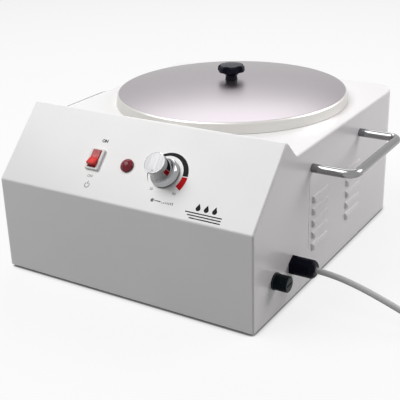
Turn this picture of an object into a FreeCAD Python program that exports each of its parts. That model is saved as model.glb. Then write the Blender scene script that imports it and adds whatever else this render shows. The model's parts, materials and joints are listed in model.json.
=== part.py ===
import FreeCAD, Part
import math
import os
import Sketcher

Vector = FreeCAD.Vector
Rotation = FreeCAD.Rotation
Placement = FreeCAD.Placement

# A table-top wax heater: a folded sheet-steel casing with a sloping console, a heated well that
# holds a lift-out aluminium pot and its lid, two bar handles, and the mains inlet on the right.
# X runs to the right, Y to the back and Z up; the origin is on the table under the middle.

doc = FreeCAD.newDocument("wax_heater")
sheet_of_sizes = doc.addObject("Spreadsheet::Sheet", "Sizes")
X_AXIS = Vector(1, 0, 0)
Y_AXIS = Vector(0, 1, 0)
Z_AXIS = Vector(0, 0, 1)


# ---------------------------------------------------------------- sizes and formulas

class Size:
    """A number together with the sheet formula that works it out."""

    def __init__(self, number, formula):
        self.number = number
        self.formula = formula

    def __add__(self, other):
        other = as_size(other)
        return Size(self.number + other.number, "(%s + %s)" % (self.formula, other.formula))

    def __sub__(self, other):
        other = as_size(other)
        return Size(self.number - other.number, "(%s - %s)" % (self.formula, other.formula))

    def __mul__(self, other):
        other = as_size(other)
        return Size(self.number * other.number, "(%s * %s)" % (self.formula, other.formula))

    def __truediv__(self, other):
        other = as_size(other)
        return Size(self.number / other.number, "(%s / %s)" % (self.formula, other.formula))

    def __radd__(self, other):
        return as_size(other) + self

    def __rsub__(self, other):
        return as_size(other) - self

    def __rmul__(self, other):
        return as_size(other) * self

    def __rtruediv__(self, other):
        return as_size(other) / self

    def __neg__(self):
        return as_size(-1) * self


def as_size(amount):
    if isinstance(amount, Size):
        return amount
    return Size(float(amount), "(%.6f)" % amount)


def number(amount):
    return as_size(amount).number


def diagonal(a, b):
    a, b = as_size(a), as_size(b)
    return Size(math.hypot(a.number, b.number), "hypot(%s; %s)" % (a.formula, b.formula))


def other_leg(long_side, leg):
    """The second leg of a right triangle."""
    long_side, leg = as_size(long_side), as_size(leg)
    formula = "sqrt(%s ^ 2 - %s ^ 2)" % (long_side.formula, leg.formula)
    return Size(math.sqrt(long_side.number ** 2 - leg.number ** 2), formula)


def in_degrees(amount):
    """A plain number of degrees as an angle, for sums with other angles."""
    amount = as_size(amount)
    return Size(amount.number, "(%s * 1 deg)" % amount.formula)


def sine(angle):
    return Size(math.sin(math.radians(angle.number)), "sin(%s)" % angle.formula)


def cosine(angle):
    return Size(math.cos(math.radians(angle.number)), "cos(%s)" % angle.formula)


def size(name, value, note):
    """Write one driving dimension in the sheet and hand it back."""
    size.row += 1
    sheet_of_sizes.set("A%d" % size.row, name)
    sheet_of_sizes.set("B%d" % size.row, "%g" % value)
    sheet_of_sizes.set("C%d" % size.row, note)
    sheet_of_sizes.setAlias("B%d" % size.row, name)
    return Size(float(value), "Sizes.%s" % name)


size.row = 0

# casing
body_width = size("body_width", 300, "casing, side to side")
body_depth = size("body_depth", 360, "casing, front to back")
front_height = size("front_height", 103, "table to the fold under the console")
ridge_height = size("ridge_height", 170, "table to the ridge")
ridge_setback = size("ridge_setback", 66, "front face to the ridge")
notch_setback = size("notch_setback", 87, "front face to the front of the deck")
deck_height = size("deck_height", 150, "table to the deck")
wall = size("wall", 1.2, "thickness of the casing's steel")
fold_radius = size("fold_radius", 3, "outside radius of the long folds")
rim_radius = size("rim_radius", 2, "outside radius of the side and deck edges")
rear_radius = size("rear_radius", 30, "radius of the rear corners in plan")
foot_gap = size("foot_gap", 3, "table to the casing's lower edge")
lip_width = size("lip_width", 16, "inward lip that the base plate screws to")
seam_width = size("seam_width", 0.8, "width of the joint line in each side")
seam_depth = size("seam_depth", 0.4, "depth of the joint line")
seam_setback = size("seam_setback", 116, "front face to the joint line")
seam_low = size("seam_low", 40, "table to the joint line's lower end")
seam_high = size("seam_high", 119, "table to the joint line's upper end")

# louvres in the sides
louvre_length = size("louvre_length", 38, "length of one louvre")
louvre_rise = size("louvre_rise", 8, "height of one louvre's hood")
louvre_lift = size("louvre_lift", 2.6, "how far a hood stands out of the side")
louvre_pitch = size("louvre_pitch", 13, "louvre to louvre, upwards")
louvre_low = size("louvre_low", 36, "table to the lowest louvre's mouth")
louvre_setback = size("louvre_setback", 142, "front face to the middle of the first column")
louvre_column_pitch = size("louvre_column_pitch", 86, "column to column")
louvre_slope = size("louvre_slope", 3, "how far a hood draws in at its ends")
louvre_gauge = size("louvre_gauge", 0.9, "thickness of the drawn steel in a hood")
LOUVRE_ROWS = 5
LOUVRE_COLUMNS = 2

# base
plate_recess = size("plate_recess", 0.2, "casing's lower edge to the base plate")
plate_thickness = size("plate_thickness", 1.2, "thickness of the base plate")
plate_clearance = size("plate_clearance", 0.6, "gap between base plate and casing walls")
base_screw_radius = size("base_screw_radius", 1.9, "shank of a base screw")
base_screw_head = size("base_screw_head", 3.6, "radius of its head")
base_screw_hole = size("base_screw_hole", 2.0, "radius of its hole")
base_screw_rise = size("base_screw_rise", 2, "height of its head")
base_screw_length = size("base_screw_length", 8, "shank below the head")
base_screw_round = size("base_screw_round", 1.2, "rounding of its head")
screw_from_edge = size("screw_from_edge", 9, "casing's outside to a base screw")
foot_radius = size("foot_radius", 10, "radius of a rubber foot")
foot_stem_radius = size("foot_stem_radius", 3, "radius of its stem")
foot_barb = size("foot_barb", 1, "how far the stem's barb reaches past the stem")
foot_barb_height = size("foot_barb_height", 3.5, "height of the barb")
foot_draft = size("foot_draft", 1, "how much the foot draws in towards the table")
foot_rim = size("foot_rim", 0.8, "straight edge of the foot under the plate")
foot_inset = size("foot_inset", 30, "casing's outside to a foot's middle")
vent_length = size("vent_length", 46, "length of a slot in the base plate")
vent_width = size("vent_width", 4, "width of a slot in the base plate")
vent_pitch = size("vent_pitch", 12, "slot to slot")

# pot, well and lid
well_to_back = size("well_to_back", 133, "middle of the well to the casing's back")
pot_radius = size("pot_radius", 119.5, "outside of the pot's wall")
pot_wall = size("pot_wall", 1.5, "thickness of the pot")
pot_depth = size("pot_depth", 111.7, "deck to the underside of the pot")
pot_corner = size("pot_corner", 12, "outside radius round the pot's floor")
pot_rim = size("pot_rim", 7.5, "how far the pot's rim reaches past its wall")
rim_height = size("rim_height", 4, "height of the rolled rim")
rim_round = size("rim_round", 1.2, "rounding of the rolled rim")
pot_clearance = size("pot_clearance", 2, "gap between pot and well")
floor_clearance = size("floor_clearance", 0.3, "gap between pot floor and well floor")
well_wall = size("well_wall", 1, "thickness of the well")
well_flange = size("well_flange", 6, "width of the flange that hangs the well from the deck")
lid_clearance = size("lid_clearance", 3.5, "gap between the pot's rim and the lid's skirt")
lid_wall = size("lid_wall", 1.2, "thickness of the lid")
lid_skirt = size("lid_skirt", 11.2, "height of the lid's skirt")
lid_gap = size("lid_gap", 0.3, "deck to the lid's lower edge")
lid_taper = size("lid_taper", 1.8, "how much the skirt draws in towards the top")
lid_edge = size("lid_edge", 2.4, "outside radius where the skirt turns into the dome")
lid_dome = size("lid_dome", 10.8, "rise of the domed top")
lid_flat = size("lid_flat", 11, "radius of the flat that the knob sits on")
lid_screw = size("lid_screw", 2.5, "shank radius of the lid knob's screw")
star_radius = size("star_radius", 15.5, "tip radius of the lid knob")
star_height = size("star_height", 17.5, "height of the lid knob")
star_head = size("star_head", 9, "height of its lobed head")
star_stem = size("star_stem", 7, "radius of its stem")
star_hollow = size("star_hollow", 5, "radius of the hollows between the lobes")
star_hollow_depth = size("star_hollow_depth", 3.6, "depth of the hollows")
star_tap = size("star_tap", 12, "depth of the tapped hole in the knob")
lid_screw_head = size("lid_screw_head", 4.8, "radius of the screw's head")
lid_screw_rise = size("lid_screw_rise", 3.4, "height of the screw's head")
lid_washer = size("lid_washer", 10, "radius of the washer under the lid")
lid_washer_thickness = size("lid_washer_thickness", 1, "thickness of that washer")
STAR_LOBES = 6
STAR_TURN = 8

# heater under the well
spreader_radius = size("spreader_radius", 100, "radius of the heat spreader")
spreader_thickness = size("spreader_thickness", 5, "thickness of the heat spreader")
element_radius = size("element_radius", 75, "middle radius of the heating element")
element_tube = size("element_tube", 3.5, "radius of its tube")
element_leg = size("element_leg", 14, "middle to each leg of the element")
element_bend = size("element_bend", 12, "bend between ring and leg")
element_reach = size("element_reach", 108, "how far the legs reach to the front")
clamp_radius = size("clamp_radius", 92, "outer radius of the clamp plate")
clamp_hole = size("clamp_hole", 42, "radius of the hole in the clamp plate")
clamp_thickness = size("clamp_thickness", 1.5, "thickness of the clamp plate")
stud_radius = size("stud_radius", 2.5, "radius of the clamp studs")
stud_hole = size("stud_hole", 2.8, "radius of their holes")
stud_ring = size("stud_ring", 56, "radius of the circle of studs")
stud_reach = size("stud_reach", 1.5, "stud past its nut")
STUDS = 3
nut_height = size("nut_height", 4.5, "height of the clamp nuts")
nut_flats = size("nut_flats", 8, "across flats of the clamp nuts")
wrap_thickness = size("wrap_thickness", 5.2, "thickness of the insulating jacket")
wrap_gap = size("wrap_gap", 0.3, "gap between jacket and well")
wrap_height = size("wrap_height", 104, "height of the jacket")
cutout_radius = size("cutout_radius", 8, "radius of the thermal cut-out")
cutout_height = size("cutout_height", 6, "height of the thermal cut-out")
tab_width = size("tab_width", 6.3, "width of the push-on tabs")
tab_thickness = size("tab_thickness", 0.8, "thickness of the push-on tabs")
tab_length = size("tab_length", 9, "length of the push-on tabs")

# console controls, measured up the slope from the lower fold
control_line = size("control_line", 41.2, "fold to the line of the controls")
switch_across = size("switch_across", -43.6, "middle to the switch")
lamp_across = size("lamp_across", -4.7, "middle to the lamp")
knob_across = size("knob_across", 40, "middle to the thermostat knob")
bezel_width = size("bezel_width", 16.4, "switch bezel across")
bezel_length = size("bezel_length", 23, "switch bezel up the slope")
bezel_height = size("bezel_height", 2.8, "switch bezel above the console")
bezel_corner = size("bezel_corner", 1.5, "radius of the bezel's corners")
bezel_edge = size("bezel_edge", 0.6, "rounding of the bezel's front")
catch_height = size("catch_height", 3, "height of the snap-in catches")
catch_reach = size("catch_reach", 0.7, "how far a catch grips behind the console")
catch_gap = size("catch_gap", 0.1, "console to a catch")
switch_body_width = size("switch_body_width", 13.6, "switch body across")
switch_body_length = size("switch_body_length", 20.4, "switch body up the slope")
switch_body_depth = size("switch_body_depth", 19, "switch body below the console")
switch_tab_width = size("switch_tab_width", 4.8, "width of the switch's tabs")
switch_tab_length = size("switch_tab_length", 8, "length of the switch's tabs")
cutout_fit = size("cutout_fit", 0.1, "play of a panel-mounted body in its hole")
rocker_width = size("rocker_width", 10, "rocker across")
rocker_half = size("rocker_half", 8.6, "rocker, middle to end")
rocker_play = size("rocker_play", 0.15, "gap on each side of the rocker")
rocker_dish = size("rocker_dish", 3.9, "console to the rocker's middle")
rocker_lift = size("rocker_lift", 1.8, "rise of the rocker's ends above its middle")
rocker_foot = size("rocker_foot", 4.5, "rocker's depth below its pivot")
rocker_round = size("rocker_round", 0.5, "rounding of the rocker's edges")
pin_reach = size("pin_reach", 1, "length of a rocker trunnion")
pin_room = size("pin_room", 0.2, "gap at the end of a trunnion")
rocker_tip = size("rocker_tip", 12, "tilt of the rocker each way, degrees")
pivot_drop = size("pivot_drop", 1, "console to the rocker's pivot, below")
pivot_radius = size("pivot_radius", 1.2, "radius of the rocker's trunnions")
pivot_play = size("pivot_play", 0.05, "radial play of the trunnions")
lamp_radius = size("lamp_radius", 7, "radius of the lamp's lens")
lamp_dome = size("lamp_dome", 3.6, "height of the lens's dome")
lamp_flange = size("lamp_flange", 0.9, "thickness of the lamp body's flange")
lamp_tube = size("lamp_tube", 5.9, "radius of the lamp body")
lamp_depth = size("lamp_depth", 20, "lamp body below the console")
lamp_wall = size("lamp_wall", 1.2, "wall of the lamp body")
lamp_floor = size("lamp_floor", 8, "solid length at its rear")
lens_rim = size("lens_rim", 0.8, "straight edge of the lens")
lens_plug = size("lens_plug", 2, "lens below the console")
clip_width = size("clip_width", 3.6, "how far the lamp's clip stands out")
clip_edge = size("clip_edge", 0.5, "thickness of the clip's outer edge")
clip_height = size("clip_height", 1.2, "thickness of the clip at the lamp")
bush_radius = size("bush_radius", 5, "threaded bush of the thermostat")
bush_height = size("bush_height", 5.4, "bush above the console")
bush_nut_flats = size("bush_nut_flats", 14, "across flats of the bush nut")
bush_nut_height = size("bush_nut_height", 2.6, "height of the bush nut")
spindle_radius = size("spindle_radius", 3, "radius of the thermostat spindle")
spindle_length = size("spindle_length", 17, "spindle above the console")
running_fit = size("running_fit", 0.05, "radial play of a turning fit")
thermostat_width = size("thermostat_width", 36, "thermostat body across")
thermostat_length = size("thermostat_length", 42, "thermostat body up the slope")
thermostat_depth = size("thermostat_depth", 20, "thermostat body, front to rear")
thermostat_corner = size("thermostat_corner", 2, "radius of its corners")
knob_gap = size("knob_gap", 0.6, "console to the knob's skirt")
knob_skirt = size("knob_skirt", 15, "radius of the knob's skirt")
knob_grip = size("knob_grip", 11, "radius of the knob's grip")
knob_height = size("knob_height", 24.5, "height of the knob's face above the console")
knob_flare = size("knob_flare", 9, "height where the flare meets the grip")
knob_skirt_rise = size("knob_skirt_rise", 1.8, "straight edge of the skirt")
knob_sweep = size("knob_sweep", 6, "how far outside the skirt the flare's curve is centred")
knob_edge = size("knob_edge", 0.5, "break of the grip's upper edge")
hollow_play = size("hollow_play", 1, "room round the nut inside the knob")
face_radius = size("face_radius", 10.3, "radius of the knob's face plate")
face_thickness = size("face_thickness", 1.1, "thickness of the face plate")
face_sink = size("face_sink", 0.2, "knob's rim above the edge of the face plate")
face_crown = size("face_crown", 0.6, "rise of the face plate's middle above its edge")
dot_radius = size("dot_radius", 0.9, "radius of the pointer dot")
dot_depth = size("dot_depth", 0.4, "rim of the knob to the bottom of the dot")
bulb_radius = size("bulb_radius", 3, "radius of the thermostat's bulb")
bulb_length = size("bulb_length", 60, "length of the bulb")
bulb_low = size("bulb_low", 56, "table to the bulb's lower end")
bulb_across = size("bulb_across", 50, "middle to the bulb")
capillary_radius = size("capillary_radius", 1, "radius of the capillary tube")

# fuse holder and cable gland on the right side
inlet_height = size("inlet_height", 39, "table to the fuse holder and gland")
fuse_setback = size("fuse_setback", 42.5, "front face to the fuse holder")
fuse_thread = size("fuse_thread", 6.2, "radius of the fuse holder's thread")
fuse_flange = size("fuse_flange", 8.6, "radius of its flange")
fuse_flange_depth = size("fuse_flange_depth", 2, "thickness of the flange")
fuse_depth = size("fuse_depth", 32, "fuse holder inside the wall")
fuse_bore = size("fuse_bore", 5.1, "bore for the carrier")
fuse_floor = size("fuse_floor", 3, "thickness at the holder's inner end")
fuse_tab_width = size("fuse_tab_width", 5, "width of its solder tab")
fuse_cap_radius = size("fuse_cap_radius", 8, "radius of the fuse cap")
fuse_cap_length = size("fuse_cap_length", 13, "length of the fuse cap")
cap_round = size("cap_round", 1.2, "rounding of the cap's outer edge")
flute_radius = size("flute_radius", 1.1, "radius of the cap's flutes")
flute_depth = size("flute_depth", 0.55, "depth of the cap's flutes")
flute_start = size("flute_start", 2, "plain band of the cap next to the flange")
coin_width = size("coin_width", 1.4, "width of the slot for a coin")
coin_depth = size("coin_depth", 1.5, "depth of the slot for a coin")
coin_inset = size("coin_inset", 2.5, "slot's end to the cap's edge")
CAP_FLUTES = 16
fuse_running = size("fuse_running", 0.3, "gap between cap and flange")
carrier_radius = size("carrier_radius", 4.9, "radius of the fuse carrier")
carrier_length = size("carrier_length", 8, "length of the carrier's socket")
carrier_floor = size("carrier_floor", 1.5, "thickness behind the fuse")
link_radius = size("link_radius", 2.6, "radius of the fuse")
link_length = size("link_length", 20, "length of the fuse")
link_end = size("link_end", 5.5, "length of each metal end of the fuse")
link_step = size("link_step", 0.1, "glass below its metal ends")
gland_setback = size("gland_setback", 80.8, "front face to the cable gland")
gland_thread = size("gland_thread", 7.6, "radius of the gland's thread")
gland_flats = size("gland_flats", 18.5, "across flats of the gland's hexagons")
gland_hex = size("gland_hex", 5, "length of the gland's fixed hexagon")
gland_dome = size("gland_dome", 20, "length of the gland's dome nut")
gland_mouth = size("gland_mouth", 6.6, "radius of the dome nut's mouth end")
gland_inside = size("gland_inside", 10, "gland inside the wall")
gland_neck = size("gland_neck", 7, "radius of the neck inside the dome nut")
seal_wall = size("seal_wall", 1.55, "cord's surface to the outside of its seal")
gland_trim = size("gland_trim", 0.4, "how little the hexagon's tips stand over its flats")
locknut_height = size("locknut_height", 4, "height of the inner nuts")
inner_nut_flats = size("inner_nut_flats", 17, "across flats of the fuse holder's nut")
cord_radius = size("cord_radius", 3, "radius of the mains cord")
cord_play = size("cord_play", 0.2, "radial play of the cord in the gland")

# handles
handle_height = size("handle_height", 126.5, "table to the handles")
handle_setback = size("handle_setback", 182.5, "front face to the middle of the handles")
handle_centres = size("handle_centres", 122.5, "leg to leg of a handle")
handle_reach = size("handle_reach", 44, "side to the handle bar's middle")
handle_bar = size("handle_bar", 4.5, "radius of the handle bar")
handle_bend = size("handle_bend", 10, "bend radius of the bar")
ferrule_length = size("ferrule_length", 7, "length of the ferrules at the side")
spigot_radius = size("spigot_radius", 3.5, "radius of the bar inside a ferrule")
handle_screw = size("handle_screw", 2.5, "shank radius of a handle screw")
handle_screw_head = size("handle_screw_head", 4.4, "head radius of a handle screw")
handle_screw_rise = size("handle_screw_rise", 3.4, "height of its head")
tap_spare = size("tap_spare", 2, "thread left past a handle screw's end")
washer_radius = size("washer_radius", 7, "radius of a handle washer")
washer_thickness = size("washer_thickness", 1, "thickness of a handle washer")
screw_depth = size("screw_depth", 12, "handle screw's reach past the side")
seat_fit = size("seat_fit", 0.05, "radial play of a part in its seat")

# terminal block
block_across = size("block_across", 96, "middle to the terminal block")
block_setback = size("block_setback", 62, "front face to the terminal block")
block_width = size("block_width", 40, "terminal block across")
block_length = size("block_length", 20, "terminal block, front to back")
block_height = size("block_height", 15, "height of the terminal block")
block_bore = size("block_bore", 1.6, "radius of the block's wire holes")
block_screw_head = size("block_screw_head", 2.7, "head radius of its screws")
block_screw_rise = size("block_screw_rise", 1.6, "height of their heads")
block_screw = size("block_screw", 1.6, "radius of its screws")

# cord, coil and plug, on the table to the right
coil_distance = size("coil_distance", 167, "gland's mouth to the coil's middle")
coil_gap = size("coil_gap", 0.2, "gap between the coil and the cord beside it")
coil_outer = size("coil_outer", 45, "outer radius of the coil")
coil_inner = size("coil_inner", 21, "inner radius of the coil")
coil_height = size("coil_height", 12, "height of the coil")
plug_distance = size("plug_distance", 93, "coil's middle to the plug's middle, to the back")
plug_radius = size("plug_radius", 18.5, "radius of the plug")
plug_height = size("plug_height", 24, "height of the plug, back to pin face")
plug_neck = size("plug_neck", 38, "plug's middle to the end of its neck")
plug_back_round = size("plug_back_round", 4, "rounding of the plug's back")
plug_face_round = size("plug_face_round", 1.2, "rounding round its pin face")
neck_start_width = size("neck_start_width", 24, "width of the neck at the plug")
neck_start_height = size("neck_start_height", 17, "height of the neck at the plug")
neck_height = size("neck_height", 9, "table to the middle of the neck")
neck_end = size("neck_end", 10, "width and height of the neck at the cord")
neck_round = size("neck_round", 2.5, "rounding of the neck's edges")
pin_radius = size("pin_radius", 2.4, "radius of a plug pin")
pin_length = size("pin_length", 19, "length of a plug pin")
pin_pitch = size("pin_pitch", 19, "pin to pin")
pin_round = size("pin_round", 1, "rounding of a pin's end")

# what the driving dimensions place
front = -(body_depth / 2)
back = body_depth / 2
side = body_width / 2
well_middle = back - well_to_back
slope_rise = ridge_height - front_height
slope_length = diagonal(ridge_setback, slope_rise)
slope_cos = ridge_setback / slope_length
slope_sin = slope_rise / slope_length
slope_angle = Size(
    math.degrees(math.atan2(slope_rise.number, ridge_setback.number)),
    "atan2(%s; %s)" % (slope_rise.formula, ridge_setback.formula),
)
plate_low = foot_gap + plate_recess
plate_top = plate_low + plate_thickness
well_inner = pot_radius + pot_clearance
well_outer = well_inner + well_wall
well_floor_top = deck_height - pot_depth - floor_clearance
well_floor_low = well_floor_top - well_wall
spreader_low = well_floor_low - spreader_thickness
element_middle = spreader_low - element_tube
clamp_low = spreader_low - 2 * element_tube - clamp_thickness
gland_end = side + gland_hex + gland_dome
coil_middle_x = gland_end + coil_distance
coil_middle_y = front + gland_setback + coil_outer + cord_radius + coil_gap
plug_middle_x = coil_middle_x + coil_outer + cord_radius + coil_gap
plug_middle_y = coil_middle_y + plug_distance


# ---------------------------------------------------------------- modelling steps

def new_body(label):
    body = doc.addObject("PartDesign::Body", "Body")
    body.Label = label
    return body


def origin_part(body, role):
    for part in body.Origin.OriginFeatures:
        if part.Role == role:
            return part
    raise ValueError(role)


def bind(target, path, amount):
    target.setExpression(path, as_size(amount).formula)


def sketch_on(body, role="XY_Plane", height=0):
    drawing = body.newObject("Sketcher::SketchObject", "Drawing")
    drawing.AttachmentSupport = (origin_part(body, role), [""])
    drawing.MapMode = "FlatFace"
    bind(drawing, "AttachmentOffset.Base.z", height)
    return drawing


def sketch_on_console(body):
    """A drawing in the console's outer face: x across, y up the slope from the lower fold."""
    drawing = sketch_on(body)
    drawing.AttachmentOffset = Placement(Vector(), Rotation(X_AXIS, 45))
    bind(drawing, "AttachmentOffset.Base.y", front)
    bind(drawing, "AttachmentOffset.Base.z", front_height)
    bind(drawing, "AttachmentOffset.Rotation.Angle", slope_angle)
    return drawing


def fix_point(drawing, piece, end, across, up):
    """Tie one end of a line or arc to its place in the drawing."""
    for kind, amount in (("DistanceX", as_size(across)), ("DistanceY", as_size(up))):
        row = drawing.addConstraint(Sketcher.Constraint(kind, piece, end, amount.number))
        drawing.setExpression("Constraints[%d]" % row, amount.formula)


def arc_between(first, last, middle, turn):
    """An arc from first to last; turn 1 is counter-clockwise, -1 clockwise."""
    radius = math.hypot(first[0] - middle[0], first[1] - middle[1])
    start = math.atan2(first[1] - middle[1], first[0] - middle[0])
    end = math.atan2(last[1] - middle[1], last[0] - middle[0])
    if turn < 0:
        start, end = end, start
    whole = Part.Circle(Vector(*middle, 0), Z_AXIS, radius)
    return Part.ArcOfCircle(whole, start, end if end > start else end + 2 * math.pi)


def arc_middle(first, last, way, amount):
    """The middle of an arc through both ends, given its place along one way only."""
    along, across = ("x", "y").index(way), ("y", "x").index(way)
    reach = (last[along] - amount) ** 2 - (first[along] - amount) ** 2
    step = last[across] - first[across]
    other = (last[across] ** 2 - first[across] ** 2 + reach) / (2 * step)
    return (amount, other) if way == "x" else (other, amount)


def outline(drawing, corners, arcs=None, closed=True):
    """Lines through the corners; arcs maps a side's number to (way, its middle, its turn)."""
    arcs = arcs or {}
    places = [(number(x), number(y)) for x, y in corners]
    count = len(corners)
    sides = count if closed else count - 1
    base = len(drawing.Geometry)
    for k in range(sides):
        first, last = places[k], places[(k + 1) % count]
        if k in arcs:
            way, amount, turn = arcs[k]
            middle = arc_middle(first, last, way, number(amount))
            drawing.addGeometry(arc_between(first, last, middle, turn), False)
        else:
            drawing.addGeometry(Part.LineSegment(Vector(*first, 0), Vector(*last, 0)), False)
    for k in range(sides):
        entry, leaving = (2, 1) if k in arcs and arcs[k][2] < 0 else (1, 2)
        fix_point(drawing, base + k, entry, *corners[k])
        following = (k + 1) % count
        if following < sides:
            meeting = 2 if following in arcs and arcs[following][2] < 0 else 1
            tie = Sketcher.Constraint("Coincident", base + k, leaving, base + following, meeting)
            drawing.addConstraint(tie)
        else:
            fix_point(drawing, base + k, leaving, *corners[following])
    for k, (way, amount, turn) in arcs.items():
        kind = "Distance" + way.upper()
        row = drawing.addConstraint(Sketcher.Constraint(kind, base + k, 3, number(amount)))
        drawing.setExpression("Constraints[%d]" % row, as_size(amount).formula)
    return drawing


def circle(drawing, across, up, radius):
    place = Vector(number(across), number(up), 0)
    piece = drawing.addGeometry(Part.Circle(place, Z_AXIS, number(radius)), False)
    fix_point(drawing, piece, 3, across, up)
    row = drawing.addConstraint(Sketcher.Constraint("Radius", piece, number(radius)))
    drawing.setExpression("Constraints[%d]" % row, as_size(radius).formula)
    return drawing


def rectangle(drawing, width, length, across=0, up=0):
    across, up = as_size(across), as_size(up)
    half_width, half_length = as_size(width) / 2, as_size(length) / 2
    corners = [
        (across - half_width, up - half_length),
        (across + half_width, up - half_length),
        (across + half_width, up + half_length),
        (across - half_width, up + half_length),
    ]
    return outline(drawing, corners)


def hexagon(drawing, flats, across=0, up=0):
    tip = as_size(flats) / math.sqrt(3)
    corners = []
    for k in range(6):
        angle = math.radians(60 * k)
        corners.append((across + tip * math.cos(angle), up + tip * math.sin(angle)))
    return outline(drawing, corners)


def slot(drawing, across, up, length, width):
    """A slot along x with round ends."""
    straight = (length - width) / 2
    left, right = across - straight, across + straight
    low, high = up - width / 2, up + width / 2
    corners = [(left, low), (right, low), (right, high), (left, high)]
    return outline(drawing, corners, {1: ("x", right, 1), 3: ("x", left, 1)})


def pad(body, drawing, length, sides="One side", down=False):
    feature = body.newObject("PartDesign::Pad", "Pad")
    feature.Profile = drawing
    feature.SideType = sides
    feature.Reversed = down
    bind(feature, "Length", length)
    return feature


def pocket(body, drawing, depth, sides="One side", up=False):
    """Cut into the body, down from the drawing unless up is set; something must come out."""
    doc.recompute()
    before = body.Tip.Shape.Volume
    feature = body.newObject("PartDesign::Pocket", "Pocket")
    feature.Profile = drawing
    feature.SideType = sides
    feature.Reversed = up
    bind(feature, "Length", depth)
    doc.recompute()
    if not feature.Shape.Volume < before:
        raise ValueError("%s: a pocket cut nothing" % body.Label)
    return feature


def turned(label, corners, arcs=None):
    """A body turned about its own z axis from half of its section."""
    body = new_body(label)
    revolve(body, corners, arcs)
    return body


def revolve(body, corners, arcs=None):
    drawing = outline(sketch_on(body, "XZ_Plane"), corners, arcs)
    feature = body.newObject("PartDesign::Revolution", "Revolution")
    feature.Profile = drawing
    feature.ReferenceAxis = (drawing, ["V_Axis"])
    feature.Angle = 360
    return feature


def soften(body, radius, chosen, kind="PartDesign::Fillet"):
    """Round (or chamfer) the body's edges that the test picks."""
    doc.recompute()
    base = body.Tip
    names = ["Edge%d" % (k + 1) for k, edge in enumerate(base.Shape.Edges) if chosen(edge)]
    feature = body.newObject(kind, "Softened")
    feature.Base = (base, names)
    bind(feature, "Radius" if kind.endswith("Fillet") else "Size", radius)
    return feature


def straight_along(edge, axis):
    if not isinstance(edge.Curve, Part.Line):
        return False
    run = edge.Vertexes[-1].Point - edge.Vertexes[0].Point
    return abs(abs(run.normalize().dot(axis)) - 1) < 1e-6


def flat_at(edge, height):
    """The edge lies level at a height in the body's own frame."""
    box = edge.BoundBox
    return box.ZLength < 1e-4 and abs(box.ZMin - number(height)) < 1e-3


def ring_pattern(body, features, count):
    pattern = body.newObject("PartDesign::PolarPattern", "Ring")
    pattern.Originals = features
    pattern.Axis = (origin_part(body, "Z_Axis"), [""])
    pattern.Angle = 360
    pattern.Occurrences = count
    body.Tip = pattern
    return pattern


def mirror(body, features, role):
    pattern = body.newObject("PartDesign::Mirrored", "Mirror")
    pattern.Originals = features
    pattern.MirrorPlane = (origin_part(body, role), [""])
    body.Tip = pattern
    return pattern


def put(piece, x, y, z, axis=Z_AXIS, angle=0.0):
    piece.Placement = Placement(Vector(number(x), number(y), number(z)), Rotation(axis, angle))
    for path, amount in (("x", x), ("y", y), ("z", z)):
        bind(piece, "Placement.Base.%s" % path, amount)
    return piece


def put_on_console(piece, across, tip=0):
    """Stand a piece on the console's outer face, on the line of the controls."""
    put(piece, across, front + control_line * slope_cos, front_height + control_line * slope_sin, X_AXIS, 45)
    bind(piece, "Placement.Rotation.Angle", slope_angle - in_degrees(tip))
    return piece


def put_on_side(piece, setback):
    """Stand a piece on the right side's outer face, its own z pointing to the right."""
    return put(piece, side, front + setback, inlet_height, Y_AXIS, 90)


def tube_route(points):
    """Straight runs through the points, joined by arcs as large as the runs allow."""
    path = []
    radii = []
    start = points[0]
    for before, corner, after in zip(points, points[1:], points[2:]):
        into = (corner - before).normalize()
        out = (after - corner).normalize()
        turn = math.acos(max(-1.0, min(1.0, into.dot(out))))
        cut = 0.45 * min((corner - before).Length, (after - corner).Length)
        radius = cut / math.tan(turn / 2)
        first = corner - into * cut
        last = corner + out * cut
        bisector = (out - into).normalize()
        middle = corner + bisector * (radius / math.cos(turn / 2))
        through = middle - bisector * radius
        path.append(Part.LineSegment(start, first).toShape())
        path.append(Part.Arc(first, through, last).toShape())
        radii.append(radius)
        start = last
    path.append(Part.LineSegment(start, points[-1]).toShape())
    return Part.Wire(path), radii


def tube_along(label, points, radius):
    """A round tube or wire along a route of hand-chosen points."""
    route, radii = tube_route(points)
    section = Part.Wire(Part.makeCircle(number(radius), points[0], (points[1] - points[0]).normalize()))
    piece = doc.addObject("Part::Feature", "Tube")
    piece.Label = label
    piece.Shape = route.makePipeShell([section], True, False)
    expected = route.Length * math.pi * number(radius) ** 2
    print("%s: %.1f mm, tightest bend %.1f mm, volume against route %.4f"
          % (label, route.Length, min(radii), piece.Shape.Volume / expected))
    return piece


# ---------------------------------------------------------------- casing

def casing_outline(drawing):
    return outline(drawing, [
        (front, foot_gap),
        (front, front_height),
        (front + ridge_setback, ridge_height),
        (front + notch_setback, deck_height),
        (back, deck_height),
        (back, foot_gap),
    ])


def is_long_fold(edge):
    middle = edge.CenterOfMass
    above_floor = middle.z > number(foot_gap) + 1
    return straight_along(edge, X_AXIS) and above_floor and middle.y < number(back) - 1


def is_rear_corner(edge):
    return straight_along(edge, Z_AXIS) and edge.CenterOfMass.y > number(back) - 1


def is_rim(edge):
    """The edges of both sides and the deck's edge round the back."""
    middle, box = edge.CenterOfMass, edge.BoundBox
    if box.ZMax < number(foot_gap) + 1:
        return False
    if straight_along(edge, Z_AXIS) and middle.y > number(front) + 1:
        return False
    on_side = box.XLength < 1e-3 and abs(abs(middle.x) - number(side)) < 1e-3
    behind_notch = middle.y > number(front + notch_setback)
    return on_side or (flat_at(edge, deck_height) and behind_notch)


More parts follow.
